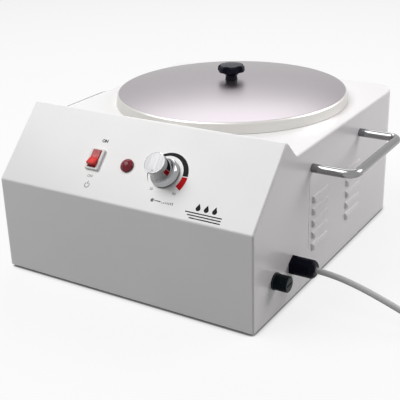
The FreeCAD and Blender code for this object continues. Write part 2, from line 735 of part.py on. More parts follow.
def louvre_section(body, offset, shrink, rise, low):
    """One level section of a louvre's hood, parallel to the side."""
    middle = front + louvre_setback
    half = louvre_length / 2 - shrink
    corners = [
        (middle - half, louvre_low - low),
        (middle + half, louvre_low - low),
        (middle + half, louvre_low + rise),
        (middle - half, louvre_low + rise),
    ]
    return outline(sketch_on(body, "YZ_Plane", offset), corners)


def louvre_loft(body, kind, sections):
    feature = body.newObject(kind, "Louvre")
    feature.Profile = sections[0]
    feature.Sections = sections[1:]
    feature.Ruled = True
    return feature


def add_louvres(body):
    """Pressed hoods with their mouths downward, in columns on both sides."""
    hood = louvre_loft(body, "PartDesign::AdditiveLoft", [
        louvre_section(body, side - wall / 2, 0, louvre_rise, 0),
        louvre_section(body, side + louvre_lift * 0.55, louvre_slope * 0.4, louvre_rise * 0.8, 0),
        louvre_section(body, side + louvre_lift, louvre_slope, louvre_rise * 0.45, 0),
    ])
    mouth = louvre_loft(body, "PartDesign::SubtractiveLoft", [
        louvre_section(body, side - wall * 1.5, 1.6, louvre_rise - 2 * louvre_gauge, 0.3),
        louvre_section(body, side + louvre_lift * 0.3, 2.4, louvre_rise * 0.62, 0.3),
        louvre_section(body, side + louvre_lift - louvre_gauge, louvre_slope + 0.8, louvre_rise * 0.4, 0.3),
    ])
    upward = body.newObject("PartDesign::LinearPattern", "Rows")
    upward.Direction = (origin_part(body, "Z_Axis"), [""])
    upward.Occurrences = LOUVRE_ROWS
    bind(upward, "Length", louvre_pitch * (LOUVRE_ROWS - 1))
    backward = body.newObject("PartDesign::LinearPattern", "Columns")
    backward.Direction = (origin_part(body, "Y_Axis"), [""])
    backward.Occurrences = LOUVRE_COLUMNS
    bind(backward, "Length", louvre_column_pitch * (LOUVRE_COLUMNS - 1))
    across = body.newObject("PartDesign::Mirrored", "OtherSide")
    across.MirrorPlane = (origin_part(body, "YZ_Plane"), [""])
    field = body.newObject("PartDesign::MultiTransform", "Louvres")
    field.Originals = [hood, mouth]
    field.Transformations = [upward, backward, across]
    body.Tip = field
    return field


def rounded_plan(drawing, inset):
    """The casing's plan, set in on every side, with its two rear corners round."""
    left, right = -side + inset, side - inset
    near, far = front + inset, back - inset
    radius = rear_radius - inset
    corners = [
        (left, near),
        (right, near),
        (right, far - radius),
        (right - radius, far),
        (left + radius, far),
        (left, far - radius),
    ]
    return outline(drawing, corners, {2: ("x", right - radius, 1), 4: ("x", left + radius, 1)})


def base_screw_places():
    across = side - screw_from_edge
    along = back - screw_from_edge
    places = []
    for x_way in (-1, 1):
        for y_way in (-1, 1):
            places.append((body_width * x_way / 3, along * y_way))
            places.append((across * x_way, body_depth * y_way / 4.5))
    return places


def make_casing():
    """One folded and welded steel shell, open below, with a lip for the base plate."""
    body = new_body("casing")
    pad(body, casing_outline(sketch_on(body, "YZ_Plane")), body_width, "Symmetric")
    soften(body, fold_radius, is_long_fold)
    soften(body, rear_radius, is_rear_corner)
    soften(body, rim_radius, is_rim)
    doc.recompute()
    block = body.Tip
    floor_faces = []
    for k, face in enumerate(block.Shape.Faces):
        if abs(face.CenterOfMass.z - number(foot_gap)) < 1e-6:
            floor_faces.append("Face%d" % (k + 1))
    shell = body.newObject("PartDesign::Thickness", "Shell")
    shell.Base = (block, floor_faces)
    shell.Reversed = True
    bind(shell, "Value", wall)
    lip = sketch_on(body, "XY_Plane", plate_top)
    rounded_plan(lip, wall / 2)
    rectangle(lip, body_width - 2 * lip_width, body_depth - 2 * lip_width)
    pad(body, lip, wall)
    add_louvres(body)
    deck = circle(sketch_on(body, "XY_Plane", deck_height + 1), 0, well_middle, well_inner)
    pocket(body, deck, 2 * wall + 1)
    console = sketch_on_console(body)
    switch_hole = (switch_body_width + 2 * cutout_fit, switch_body_length + 2 * cutout_fit)
    rectangle(console, *switch_hole, switch_across, control_line)
    circle(console, lamp_across, control_line, lamp_tube + cutout_fit)
    circle(console, knob_across, control_line, bush_radius + cutout_fit)
    pocket(body, console, 3 * wall)
    inlets = sketch_on(body, "YZ_Plane", side + 1)
    circle(inlets, front + fuse_setback, inlet_height, fuse_thread + cutout_fit)
    circle(inlets, front + gland_setback, inlet_height, gland_thread + cutout_fit)
    pocket(body, inlets, 2 * wall + 1)
    bolts = sketch_on(body, "YZ_Plane")
    for way in (-1, 1):
        leg = front + handle_setback + handle_centres * way / 2
        circle(bolts, leg, handle_height, handle_screw + cutout_fit)
    pocket(body, bolts, body_width + 2, "Symmetric")
    pilots = sketch_on(body, "XY_Plane", plate_top + 2 * wall)
    for x, y in base_screw_places():
        circle(pilots, x, y, base_screw_hole)
    pocket(body, pilots, 3 * wall)
    for way in (-1, 1):
        line = sketch_on(body, "YZ_Plane", side * way)
        middle_height = (seam_low + seam_high) / 2
        rectangle(line, seam_width, seam_high - seam_low, front + seam_setback, middle_height)
        pocket(body, line, seam_depth, up=(way < 0))
    return body


# ---------------------------------------------------------------- base

def foot_places():
    across, along = side - foot_inset, back - foot_inset
    return {
        "foot_front_left": (-across, -along),
        "foot_front_right": (across, -along),
        "foot_rear_left": (-across, along),
        "foot_rear_right": (across, along),
    }


def block_screw_places():
    middle = front + block_setback
    return [(block_across + block_width * way * 0.375, middle) for way in (-1, 1)]


def make_base_plate():
    """The flat steel plate that closes the casing from below, with rows of air slots."""
    body = new_body("base_plate")
    plan = rounded_plan(sketch_on(body, "XY_Plane", plate_low), wall + plate_clearance)
    pad(body, plan, plate_thickness)
    holes = sketch_on(body, "XY_Plane", plate_top)
    for x, y in base_screw_places():
        circle(holes, x, y, base_screw_hole)
    for x, y in foot_places().values():
        circle(holes, x, y, foot_stem_radius + cutout_fit)
    for x, y in block_screw_places():
        circle(holes, x, y, block_screw + cutout_fit)
    pocket(body, holes, 2 * plate_thickness)
    vents = sketch_on(body, "XY_Plane", plate_top)
    for way in (-1, 1):
        slot(vents, vent_length * 0.75 * way, well_middle - vent_pitch * 2, vent_length, vent_width)
    first = pocket(body, vents, 2 * plate_thickness)
    rows = body.newObject("PartDesign::LinearPattern", "Rows")
    rows.Originals = [first]
    rows.Direction = (origin_part(body, "Y_Axis"), [""])
    rows.Occurrences = 5
    bind(rows, "Length", vent_pitch * 4)
    body.Tip = rows
    return body


def make_base_screws():
    """Eight pan-head screws through the base plate into the casing's lip."""
    body = new_body("base_screws")
    heads = sketch_on(body, "XY_Plane", plate_low)
    shanks = sketch_on(body, "XY_Plane", plate_low)
    for x, y in base_screw_places():
        circle(heads, x, y, base_screw_head)
        circle(shanks, x, y, base_screw_radius)
    pad(body, heads, base_screw_rise, down=True)
    pad(body, shanks, base_screw_length)
    soften(body, base_screw_round, lambda edge: flat_at(edge, plate_low - base_screw_rise))
    return body


def make_foot(label, x, y):
    """A rubber foot pressed into the base plate by its barbed stem."""
    tip = plate_top + foot_barb_height
    body = turned(label, [
        (0, 0),
        (foot_radius - foot_draft, 0),
        (foot_radius, plate_low - foot_rim),
        (foot_radius, plate_low),
        (foot_stem_radius, plate_low),
        (foot_stem_radius, plate_top),
        (foot_stem_radius + foot_barb, plate_top),
        (foot_stem_radius - foot_barb, tip),
        (0, tip),
    ])
    return put(body, x, y, 0)


# ---------------------------------------------------------------- well and heater

def make_well():
    """A spun steel cup with a flange, hung under the deck; the pot stands in it."""
    top = deck_height - wall
    corner = pot_corner + pot_clearance
    flange = well_inner + well_flange
    body = turned("well", [
        (0, well_floor_low),
        (well_outer, well_floor_low),
        (well_outer, top - well_wall),
        (flange, top - well_wall),
        (flange, top),
        (well_inner, top),
        (well_inner, well_floor_top),
        (0, well_floor_top),
    ])
    soften(body, corner, lambda edge: flat_at(edge, well_floor_low))
    soften(body, corner - well_wall, lambda edge: flat_at(edge, well_floor_top))
    return put(body, 0, well_middle, 0)


def stud_circle(drawing, radius, k):
    angle = math.radians(90 + 360 * k / STUDS)
    return circle(drawing, stud_ring * math.cos(angle), stud_ring * math.sin(angle), radius)


def make_heat_spreader():
    """A cast aluminium disc between the element and the well's floor."""
    body = new_body("heat_spreader")
    pad(body, circle(sketch_on(body, "XY_Plane", spreader_low), 0, 0, spreader_radius), spreader_thickness)
    holes = sketch_on(body, "XY_Plane", well_floor_low)
    for k in range(STUDS):
        stud_circle(holes, stud_hole, k)
    pocket(body, holes, 2 * spreader_thickness)
    return put(body, 0, well_middle, 0)


def make_clamp_studs():
    """Studs welded under the well's floor."""
    body = new_body("clamp_studs")
    ends = sketch_on(body, "XY_Plane", well_floor_low)
    for k in range(STUDS):
        stud_circle(ends, stud_radius, k)
    pad(body, ends, well_floor_low - clamp_low + nut_height + stud_reach, down=True)
    return put(body, 0, well_middle, 0)


def make_heating_element():
    """A tubular element: two legs from the front, two bends and the long way round a ring."""
    body = new_body("heating_element")
    joint_reach = element_radius + element_bend
    leg_middle = element_leg + element_bend
    bend_back = -other_leg(joint_reach, leg_middle)
    touch = element_radius / joint_reach
    path = outline(sketch_on(body, "XY_Plane", element_middle), [
        (-element_leg, -element_reach),
        (-element_leg, bend_back),
        (-leg_middle * touch, bend_back * touch),
        (leg_middle * touch, bend_back * touch),
        (element_leg, bend_back),
        (element_leg, -element_reach),
    ], {1: ("x", -leg_middle, 1), 2: ("y", 0, -1), 3: ("x", leg_middle, 1)}, closed=False)
    section = circle(sketch_on(body, "XZ_Plane", element_reach), -element_leg, element_middle, element_tube)
    tube = body.newObject("PartDesign::AdditivePipe", "Tube")
    tube.Profile = section
    tube.Spine = (path, [""])
    return put(body, 0, well_middle, 0)


def make_element_clamp():
    """A pressed steel plate that holds the element up against the spreader."""
    body = new_body("element_clamp")
    plate = sketch_on(body, "XY_Plane", clamp_low)
    circle(plate, 0, 0, clamp_radius)
    circle(plate, 0, 0, clamp_hole)
    pad(body, plate, clamp_thickness)
    holes = sketch_on(body, "XY_Plane", clamp_low + clamp_thickness)
    for k in range(STUDS):
        stud_circle(holes, stud_hole, k)
    pocket(body, holes, 2 * clamp_thickness)
    return put(body, 0, well_middle, 0)


def make_clamp_nuts():
    body = new_body("clamp_nuts")
    rings = sketch_on(body, "XY_Plane", clamp_low)
    for k in range(STUDS):
        angle = math.radians(90 + 360 * k / STUDS)
        hexagon(rings, nut_flats, stud_ring * math.cos(angle), stud_ring * math.sin(angle))
        stud_circle(rings, stud_radius + seat_fit, k)
    pad(body, rings, nut_height, down=True)
    return put(body, 0, well_middle, 0)


def make_thermal_cutout():
    """A bimetal safety cut-out against the middle of the spreader."""
    body = new_body("thermal_cutout")
    disc = circle(sketch_on(body, "XY_Plane", spreader_low), 0, 0, cutout_radius)
    pad(body, disc, cutout_height, down=True)
    tabs = sketch_on(body, "XY_Plane", spreader_low - cutout_height + 1)
    for way in (-1, 1):
        rectangle(tabs, tab_thickness, tab_width, cutout_radius * way * 0.5, 0)
    pad(body, tabs, tab_length, down=True)
    return put(body, 0, well_middle, 0)


def make_insulation_wrap():
    """A mineral-fibre jacket round the well, slit where the thermostat's bulb lies."""
    inner = well_outer + wrap_gap
    top = deck_height - wall - well_wall - wrap_gap
    body = turned("insulation_wrap", [
        (inner, top - wrap_height),
        (inner + wrap_thickness, top - wrap_height),
        (inner + wrap_thickness, top),
        (inner, top),
    ])
    window = sketch_on(body, "XY_Plane", top + 1)
    rectangle(window, 4 * bulb_radius, 6 * wrap_thickness, bulb_across, -bulb_to_middle())
    pocket(body, window, wrap_height + 2)
    return put(body, 0, well_middle, 0)


# ---------------------------------------------------------------- thermostat

def bulb_to_middle():
    """How far in front of the well's middle the bulb lies against the well's wall."""
    return other_leg(well_outer + bulb_radius + seat_fit, bulb_across)


def make_thermostat_body():
    """The switch block behind the console with its threaded bush."""
    body = new_body("thermostat_body")
    pad(body, rectangle(sketch_on(body, "XY_Plane", -wall), thermostat_width, thermostat_length),
        thermostat_depth, down=True)
    soften(body, thermostat_corner, lambda edge: straight_along(edge, Z_AXIS))
    doc.recompute()
    pad(body, circle(sketch_on(body, "XY_Plane", -wall), 0, 0, bush_radius), wall + bush_height)
    bore = circle(sketch_on(body, "XY_Plane", bush_height), 0, 0, spindle_radius + running_fit)
    pocket(body, bore, bush_height + wall + thermostat_depth / 2)
    tabs = sketch_on(body, "XY_Plane", -wall - thermostat_depth)
    for way in (-1, 0, 1):
        rectangle(tabs, tab_width, tab_thickness, 0, thermostat_length * way * 0.28)
    pad(body, tabs, tab_length, down=True)
    return put_on_console(body, knob_across)


def make_thermostat_nut():
    body = new_body("thermostat_nut")
    ring = hexagon(sketch_on(body), bush_nut_flats)
    circle(ring, 0, 0, bush_radius + seat_fit)
    pad(body, ring, bush_nut_height)
    return put_on_console(body, knob_across)


def make_thermostat_spindle():
    """The turning spindle, flatted where the knob grips it."""
    body = new_body("thermostat_spindle")
    low = -wall - thermostat_depth / 2 + 0.5
    pad(body, circle(sketch_on(body, "XY_Plane", low), 0, 0, spindle_radius), spindle_length - low)
    flat = sketch_on(body, "XY_Plane", spindle_length)
    rectangle(flat, 3 * spindle_radius, spindle_radius, 0, spindle_radius)
    pocket(body, flat, spindle_length * 0.5)
    return put_on_console(body, knob_across)


def make_thermostat_knob():
    """A chromed knob: a round grip that flares to a skirt, hollow below for the bush nut."""
    hollow = bush_nut_flats / math.sqrt(3) + hollow_play
    hollow_top = bush_height + hollow_play
    face_seat = knob_height - face_thickness
    body = turned("thermostat_knob", [
        (hollow, knob_gap),
        (knob_skirt, knob_gap),
        (knob_skirt, knob_gap + knob_skirt_rise),
        (knob_grip, knob_flare),
        (knob_grip, knob_height - knob_edge),
        (knob_grip - knob_edge, knob_height),
        (face_radius + seat_fit, knob_height),
        (face_radius + seat_fit, face_seat),
        (0, face_seat),
        (0, spindle_length + seat_fit),
        (spindle_radius + seat_fit, spindle_length + seat_fit),
        (spindle_radius + seat_fit, hollow_top),
        (hollow, hollow_top),
    ], {2: ("x", knob_skirt + knob_sweep, -1)})
    return put_on_console(body, knob_across)


def make_knob_face():
    """The satin face plate let into the knob, with a small pointer dot."""
    seat = knob_height - face_thickness
    body = turned("knob_face", [
        (0, seat),
        (face_radius, seat),
        (face_radius, knob_height - face_sink),
        (0, knob_height - face_sink + face_crown),
    ], {2: ("x", 0, 1)})
    dot = sketch_on(body, "XY_Plane", knob_height + 1)
    angle = math.radians(-78)
    reach = face_radius * 0.82
    circle(dot, reach * math.cos(angle), reach * math.sin(angle), dot_radius)
    pocket(body, dot, 1 + dot_depth)
    return put_on_console(body, knob_across)


def make_thermostat_capillary():
    """The fine tube from the thermostat to its bulb beside the well."""
    x = number(knob_across) + 10
    bulb_x = number(bulb_across)
    up_slope = number(control_line) - 11
    into = number(wall + thermostat_depth)
    sine, cosine = number(slope_sin), number(slope_cos)
    start_y = number(front) + up_slope * cosine + into * sine
    start_z = number(front_height) + up_slope * sine - into * cosine
    bulb_y = number(well_middle) - number(bulb_to_middle())
    low = number(bulb_low)
    route = [
        Vector(x, start_y, start_z),
        Vector(x, start_y + 18 * sine, start_z - 18 * cosine),
        Vector(x, start_y + 26, low + 16),
        Vector(bulb_x, start_y + 32, low - 10),
        Vector(bulb_x, bulb_y - 12, low - 26),
        Vector(bulb_x, bulb_y, low - 16),
        Vector(bulb_x, bulb_y, low),
    ]
    piece = tube_along("thermostat_capillary", route, capillary_radius)
    bulb = Part.makeCylinder(number(bulb_radius), number(bulb_length), Vector(bulb_x, bulb_y, low), Z_AXIS)
    piece.Shape = piece.Shape.fuse(bulb).removeSplitter()
    return piece


# ---------------------------------------------------------------- rocker switch and lamp

def make_switch_housing():
    """The snap-in body of the mains switch, hollow for its rocker."""
    body = new_body("switch_housing")
    pad(body, rectangle(sketch_on(body), bezel_width, bezel_length), bezel_height)
    soften(body, bezel_corner, lambda edge: straight_along(edge, Z_AXIS))
    soften(body, bezel_edge, lambda edge: flat_at(edge, bezel_height))
    doc.recompute()
    pad(body, rectangle(sketch_on(body), switch_body_width, switch_body_length), switch_body_depth, down=True)
    room = sketch_on(body, "XY_Plane", bezel_height + 1)
    rectangle(room, rocker_width + 2 * rocker_play, 2 * rocker_reach())
    pocket(body, room, bezel_height + 1 + rocker_room())
    pins = sketch_on(body, "YZ_Plane")
    circle(pins, 0, -pivot_drop, pivot_radius + pivot_play)
    pocket(body, pins, rocker_width + 2 * (pin_reach + pin_room), "Symmetric")
    catch = sketch_on(body, "YZ_Plane")
    for way in (-1, 1):
        edge = switch_body_length * way / 2
        top = -wall - catch_gap
        corners = [(edge, top - catch_height), (edge + catch_reach * way, top), (edge, top)]
        outline(catch, corners[::way])
    pad(body, catch, switch_body_width / 2, "Symmetric")
    return put_on_console(body, switch_across)


def rocker_reach():
    """Half the length of the opening that the tipping rocker needs."""
    return rocker_half + 1.1


def rocker_room():
    """Depth of the hollow below the console's face."""
    return pivot_drop + rocker_half * 0.8


def make_switch_rocker():
    """The translucent rocker, its two faces meeting in a shallow valley, on two trunnions."""
    body = new_body("switch_rocker")
    foot = rocker_half * 0.55
    profile = outline(sketch_on(body, "YZ_Plane"), [
        (-foot, -pivot_drop - rocker_foot),
        (foot, -pivot_drop - rocker_foot),
        (rocker_half, -pivot_drop),
        (rocker_half, rocker_dish + rocker_lift),
        (0, rocker_dish),
        (-rocker_half, rocker_dish + rocker_lift),
        (-rocker_half, -pivot_drop),
    ])
    pad(body, profile, rocker_width, "Symmetric")
    soften(body, rocker_round, lambda edge: edge.CenterOfMass.z > 1.5)
    pins = circle(sketch_on(body, "YZ_Plane"), 0, -pivot_drop, pivot_radius)
    pad(body, pins, rocker_width + 2 * pin_reach, "Symmetric")
    return body


def make_pressed_rocker():
    """The rocker turned about its pivot with its upper end pressed in."""
    body = make_switch_rocker()
    put_on_console(body, switch_across, rocker_tip)
    tilt = slope_angle - in_degrees(rocker_tip)
    pivot_y = front + control_line * slope_cos + pivot_drop * slope_sin
    pivot_z = front_height + control_line * slope_sin - pivot_drop * slope_cos
    bind(body, "Placement.Base.y", pivot_y - pivot_drop * sine(tilt))
    bind(body, "Placement.Base.z", pivot_z + pivot_drop * cosine(tilt))
    return body


def make_switch_terminals():
    body = new_body("switch_terminals")
    tabs = sketch_on(body, "XY_Plane", -switch_body_depth)
    for way in (-1, 0, 1):
        rectangle(tabs, switch_tab_width, tab_thickness, 0, switch_body_length * way * 0.34)
    pad(body, tabs, switch_tab_length, down=True)
    return put_on_console(body, switch_across)


def make_lamp_body():
    """The lamp's tube through the console, with a thin flange."""
    bore = lamp_tube - lamp_wall
    body = turned("lamp_body", [
        (0, -lamp_depth),
        (lamp_tube, -lamp_depth),
        (lamp_tube, 0),
        (lamp_radius, 0),
        (lamp_radius, lamp_flange),
        (bore, lamp_flange),
        (bore, -lamp_depth + lamp_floor),
        (0, -lamp_depth + lamp_floor),
    ])
    return put_on_console(body, lamp_across)


def make_lamp_lens():
    """The red domed lens, plugged into the lamp body."""
    plug = lamp_tube - lamp_wall - seat_fit
    body = turned("lamp_lens", [
        (0, -lens_plug),
        (plug, -lens_plug),
        (plug, lamp_flange),
        (lamp_radius, lamp_flange),
        (lamp_radius, lamp_flange + lens_rim),
        (0, lamp_flange + lens_rim + lamp_dome),
    ], {4: ("x", 0, 1)})
    return put_on_console(body, lamp_across)


def make_lamp_clip():
    """The push-on spring clip that holds the lamp from behind."""
    body = turned("lamp_clip", [
        (lamp_tube + seat_fit, -wall - clip_height),
        (lamp_tube + clip_width, -wall - clip_edge),
        (lamp_tube + clip_width, -wall),
        (lamp_tube + seat_fit, -wall),
    ])
    return put_on_console(body, lamp_across)


# ---------------------------------------------------------------- fuse holder and cable gland

def make_fuse_holder():
    """The threaded barrel of the panel fuse holder, with its flange outside."""
    body = turned("fuse_holder", [
        (0, -fuse_depth),
        (fuse_thread, -fuse_depth),
        (fuse_thread, 0),
        (fuse_flange, 0),
        (fuse_flange, fuse_flange_depth),
        (fuse_bore, fuse_flange_depth),
        (fuse_bore, -fuse_depth + fuse_floor),
        (0, -fuse_depth + fuse_floor),
    ])
    tab = sketch_on(body, "XY_Plane", -fuse_depth)
    rectangle(tab, tab_thickness, fuse_tab_width, 0, 0)
    pad(body, tab, tab_length, down=True)
    return put_on_side(body, fuse_setback)


def make_fuse_nut():
    body = new_body("fuse_holder_nut")
    ring = hexagon(sketch_on(body, "XY_Plane", -wall), inner_nut_flats)
    circle(ring, 0, 0, fuse_thread + seat_fit)
    pad(body, ring, locknut_height, down=True)
    return put_on_side(body, fuse_setback)


def make_fuse_cap():
    """The black fuse cap, fluted for the fingers and slotted for a coin."""
    low = fuse_flange_depth + fuse_running
    top = low + fuse_cap_length
    body = turned("fuse_cap", [
        (0, low),
        (fuse_cap_radius, low),
        (fuse_cap_radius, top),
        (0, top),
    ])
    soften(body, cap_round, lambda edge: flat_at(edge, top))
    doc.recompute()
    reach = fuse_cap_radius + flute_radius - flute_depth
    flute = circle(sketch_on(body, "XY_Plane", low + flute_start), reach, 0, flute_radius)
    cut = pocket(body, flute, fuse_cap_length, up=True)
    ring_pattern(body, [cut], CAP_FLUTES)
    doc.recompute()
    coin = sketch_on(body, "XY_Plane", top + 1)
    rectangle(coin, coin_width, 2 * (fuse_cap_radius - coin_inset))
    pocket(body, coin, 1 + coin_depth)
    return put_on_side(body, fuse_setback)


def make_fuse_carrier():
    """The socket behind the cap that draws the fuse out with it."""
    top = fuse_flange_depth + fuse_running
    body = turned("fuse_carrier", [
        (link_radius + seat_fit, top - carrier_length),
        (carrier_radius, top - carrier_length),
        (carrier_radius, top),
        (0, top),
        (0, top - carrier_floor),
        (link_radius + seat_fit, top - carrier_floor),
    ])
    return put_on_side(body, fuse_setback)


def link_top():
    return fuse_flange_depth + fuse_running - carrier_floor - seat_fit


def make_fuse_link():
    """The fuse's glass tube between its two metal ends."""
    body = turned("fuse_link", [
        (0, link_top() - link_length + link_end),
        (link_radius - link_step, link_top() - link_length + link_end),
        (link_radius - link_step, link_top() - link_end),
        (0, link_top() - link_end),
    ])
    return put_on_side(body, fuse_setback)


def make_fuse_link_ends():
    body = new_body("fuse_link_ends")
    for top in (link_top(), link_top() - link_length + link_end):
        pad(body, circle(sketch_on(body, "XY_Plane", top), 0, 0, link_radius), link_end, down=True)
    return put_on_side(body, fuse_setback)


def gland_bore():
    return cord_radius + cord_play


def seal_outer():
    return cord_radius + seal_wall


def make_gland_body():
    """The gland's fixed hexagon outside and its thread through the wall."""
    body = new_body("gland_body")
    pad(body, hexagon(sketch_on(body), gland_flats), gland_hex)
    pad(body, circle(sketch_on(body), 0, 0, gland_thread), gland_inside, down=True)
    neck = circle(sketch_on(body, "XY_Plane", gland_hex), 0, 0, gland_neck)
    pad(body, neck, gland_dome * 0.45)
    doc.recompute()
    bore = circle(sketch_on(body, "XY_Plane", gland_hex + gland_dome), 0, 0, seal_outer() + seat_fit)
    pocket(body, bore, gland_hex + gland_inside + 2 * gland_dome)
    return put_on_side(body, gland_setback)


def make_gland_locknut():
    body = new_body("gland_locknut")
    ring = hexagon(sketch_on(body, "XY_Plane", -wall), gland_flats)
    circle(ring, 0, 0, gland_thread + seat_fit)
    pad(body, ring, locknut_height, down=True)
    return put_on_side(body, gland_setback)


def make_gland_dome():
    """The dome nut that squeezes the seal, tapered towards the cord."""
    low = gland_hex + 0.2
    top = gland_hex + gland_dome
    waist = gland_hex + gland_dome * 0.72
    tip = gland_flats / math.sqrt(3)
    body = new_body("gland_dome")
    pad(body, hexagon(sketch_on(body, "XY_Plane", low), gland_flats), top - low)
    trim = outline(sketch_on(body, "XZ_Plane"), [
        (gland_flats / 2 + gland_trim, low - 1),
        (tip + 2, low - 1),
        (tip + 2, top + 1),
        (gland_mouth, top + 1),
        (gland_mouth, top),
        (gland_flats / 2 + gland_trim, waist),
    ], {4: ("y", waist, -1)})
    groove = body.newObject("PartDesign::Groove", "Taper")
    groove.Profile = trim
    groove.ReferenceAxis = (trim, ["V_Axis"])
    groove.Angle = 360
    doc.recompute()
    inside = sketch_on(body, "XY_Plane", low - 1)
    circle(inside, 0, 0, gland_neck + seat_fit)
    pocket(body, inside, gland_dome * 0.55 + 1, up=True)
    mouth = circle(sketch_on(body, "XY_Plane", low), 0, 0, gland_bore())
    pocket(body, mouth, gland_dome + 2, up=True)
    return put_on_side(body, gland_setback)


def make_gland_seal():
    """The rubber ring pressed round the cord inside the gland."""
    low = gland_hex - 2
    top = gland_hex + gland_dome * 0.45
    body = turned("gland_seal", [
        (gland_bore(), low),
        (seal_outer(), low),
        (seal_outer(), top),
        (gland_bore(), top),
    ])
    return put_on_side(body, gland_setback)


# ---------------------------------------------------------------- handles

def handle_legs(drawing, radius, bore=None):
    """Circles, or rings, at both legs of the right handle, on a drawing parallel to the side."""
    for way in (-1, 1):
        leg = front + handle_setback + handle_centres * way / 2
        circle(drawing, leg, handle_height, radius)
        if bore is not None:
            circle(drawing, leg, handle_height, bore)
    return drawing


def make_handle(label, way):
    """A plated steel bar bent to a flat U, with turned-down ends tapped for screws."""
    body = new_body(label)
    half = handle_centres / 2
    turn = handle_reach - handle_bend
    path = outline(sketch_on(body), [
        (ferrule_length, -half),
        (turn, -half),
        (handle_reach, -half + handle_bend),
        (handle_reach, half - handle_bend),
        (turn, half),
        (ferrule_length, half),
    ], {1: ("x", turn, 1), 3: ("x", turn, 1)}, closed=False)
    section = circle(sketch_on(body, "YZ_Plane", ferrule_length), -half, 0, handle_bar)
    bar = body.newObject("PartDesign::AdditivePipe", "Bar")
    bar.Profile = section
    bar.Spine = (path, [""])
    spigots = sketch_on(body, "YZ_Plane")
    taps = sketch_on(body, "YZ_Plane")
    for leg_way in (-1, 1):
        circle(spigots, half * leg_way, 0, spigot_radius)
        circle(taps, half * leg_way, 0, handle_screw + seat_fit)
    pad(body, spigots, ferrule_length)
    pocket(body, taps, screw_depth + tap_spare, up=True)
    return put(body, side * way, front + handle_setback, handle_height, Z_AXIS, 0 if way > 0 else 180)


def make_handle_ferrules():
    body = new_body("handle_ferrules")
    rings = handle_legs(sketch_on(body, "YZ_Plane", side), handle_bar, spigot_radius + seat_fit)
    mirror(body, [pad(body, rings, ferrule_length)], "YZ_Plane")
    return body


def make_handle_washers():
    body = new_body("handle_washers")
    seat = side - wall
    rings = handle_legs(sketch_on(body, "YZ_Plane", seat), washer_radius, handle_screw + cutout_fit)
    mirror(body, [pad(body, rings, washer_thickness, down=True)], "YZ_Plane")
    return body


def make_handle_screws():
    """Screws from inside the casing into the handle's tapped ends."""
    body = new_body("handle_screws")
    seat = side - wall - washer_thickness
    heads = handle_legs(sketch_on(body, "YZ_Plane", seat), handle_screw_head)
    shanks = handle_legs(sketch_on(body, "YZ_Plane", seat), handle_screw)
    features = [
        pad(body, heads, handle_screw_rise, down=True),
        pad(body, shanks, wall + washer_thickness + screw_depth),
    ]
    mirror(body, features, "YZ_Plane")
    return body


# ---------------------------------------------------------------- terminal block

def make_terminal_block():
    """A three-way ceramic block on the base plate for the mains leads."""
    body = new_body("terminal_block")
    pad(body, rectangle(sketch_on(body), block_width, block_length), block_height * 0.6)
    posts = sketch_on(body, "XY_Plane", block_height * 0.6)
    for way in (-1, 0, 1):
        rectangle(posts, block_width * 0.2, block_length, block_width * way * 0.25, 0)
    doc.recompute()
    pad(body, posts, block_height * 0.4)
    holes = sketch_on(body, "XY_Plane", block_height)
    for way in (-1, 1):
        circle(holes, block_width * way * 0.375, 0, block_screw + seat_fit)
    pocket(body, holes, 2 * block_height)
    wires = sketch_on(body, "XZ_Plane", block_length)
    for way in (-1, 0, 1):
        circle(wires, block_width * way * 0.25, block_height * 0.62, block_bore)
    pocket(body, wires, 4 * block_length)
    return put(body, block_across, front + block_setback, plate_top)


def make_block_screws():
    body = new_body("block_screws")
    heads = sketch_on(body, "XY_Plane", plate_low)
    shanks = sketch_on(body, "XY_Plane", plate_low)
    for x, y in block_screw_places():
        circle(heads, x, y, block_screw_head)
        circle(shanks, x, y, block_screw)
    pad(body, heads, block_screw_rise, down=True)
    pad(body, shanks, plate_thickness + block_height * 0.5)
    return body


# ---------------------------------------------------------------- pot, lid and lid knob

def make_pot():
    """A spun aluminium pot that hangs on the deck by its rolled rim."""
    low = deck_height - pot_depth
    inner = pot_radius - pot_wall
    top = deck_height + rim_height
    body = turned("pot", [
        (0, low),
        (pot_radius, low),
        (pot_radius, deck_height),
        (pot_radius + pot_rim, deck_height),
        (pot_radius + pot_rim, top - rim_round),
        (pot_radius + pot_rim - rim_round, top),
        (inner + rim_round, top),
        (inner, top - rim_round),
        (inner, low + pot_wall),
        (0, low + pot_wall),
    ], {4: ("x", pot_radius + pot_rim - rim_round, 1), 6: ("x", inner + rim_round, 1)})
    soften(body, pot_corner, lambda edge: flat_at(edge, low))
    soften(body, pot_corner - pot_wall, lambda edge: flat_at(edge, low + pot_wall))
    return put(body, 0, well_middle, 0)


def lid_outer():
    return pot_radius + pot_rim + lid_clearance + lid_wall


def lid_shoulder():
    """Height of the edge where the skirt turns into the dome."""
    return deck_height + lid_gap + lid_skirt


def lid_top():
    return lid_shoulder() + lid_dome


def make_lid():
    """A spun aluminium lid: a drawn-in skirt with a rounded shoulder and a shallow dome."""
    low = deck_height + lid_gap
    outer = lid_outer()
    high = outer - lid_taper
    bore = lid_screw + cutout_fit
    body = turned("lid", [
        (bore, lid_top() - lid_wall),
        (lid_flat, lid_top() - lid_wall),
        (high - lid_wall, lid_shoulder() - lid_wall),
        (outer - lid_wall, low),
        (outer, low),
        (high, lid_shoulder()),
        (lid_flat, lid_top()),
        (bore, lid_top()),
    ], {1: ("x", 0, -1), 5: ("x", 0, 1)})
    soften(body, lid_edge, lambda edge: flat_at(edge, lid_shoulder()))
    soften(body, lid_edge - lid_wall, lambda edge: flat_at(edge, lid_shoulder() - lid_wall))
    return put(body, 0, well_middle, 0)


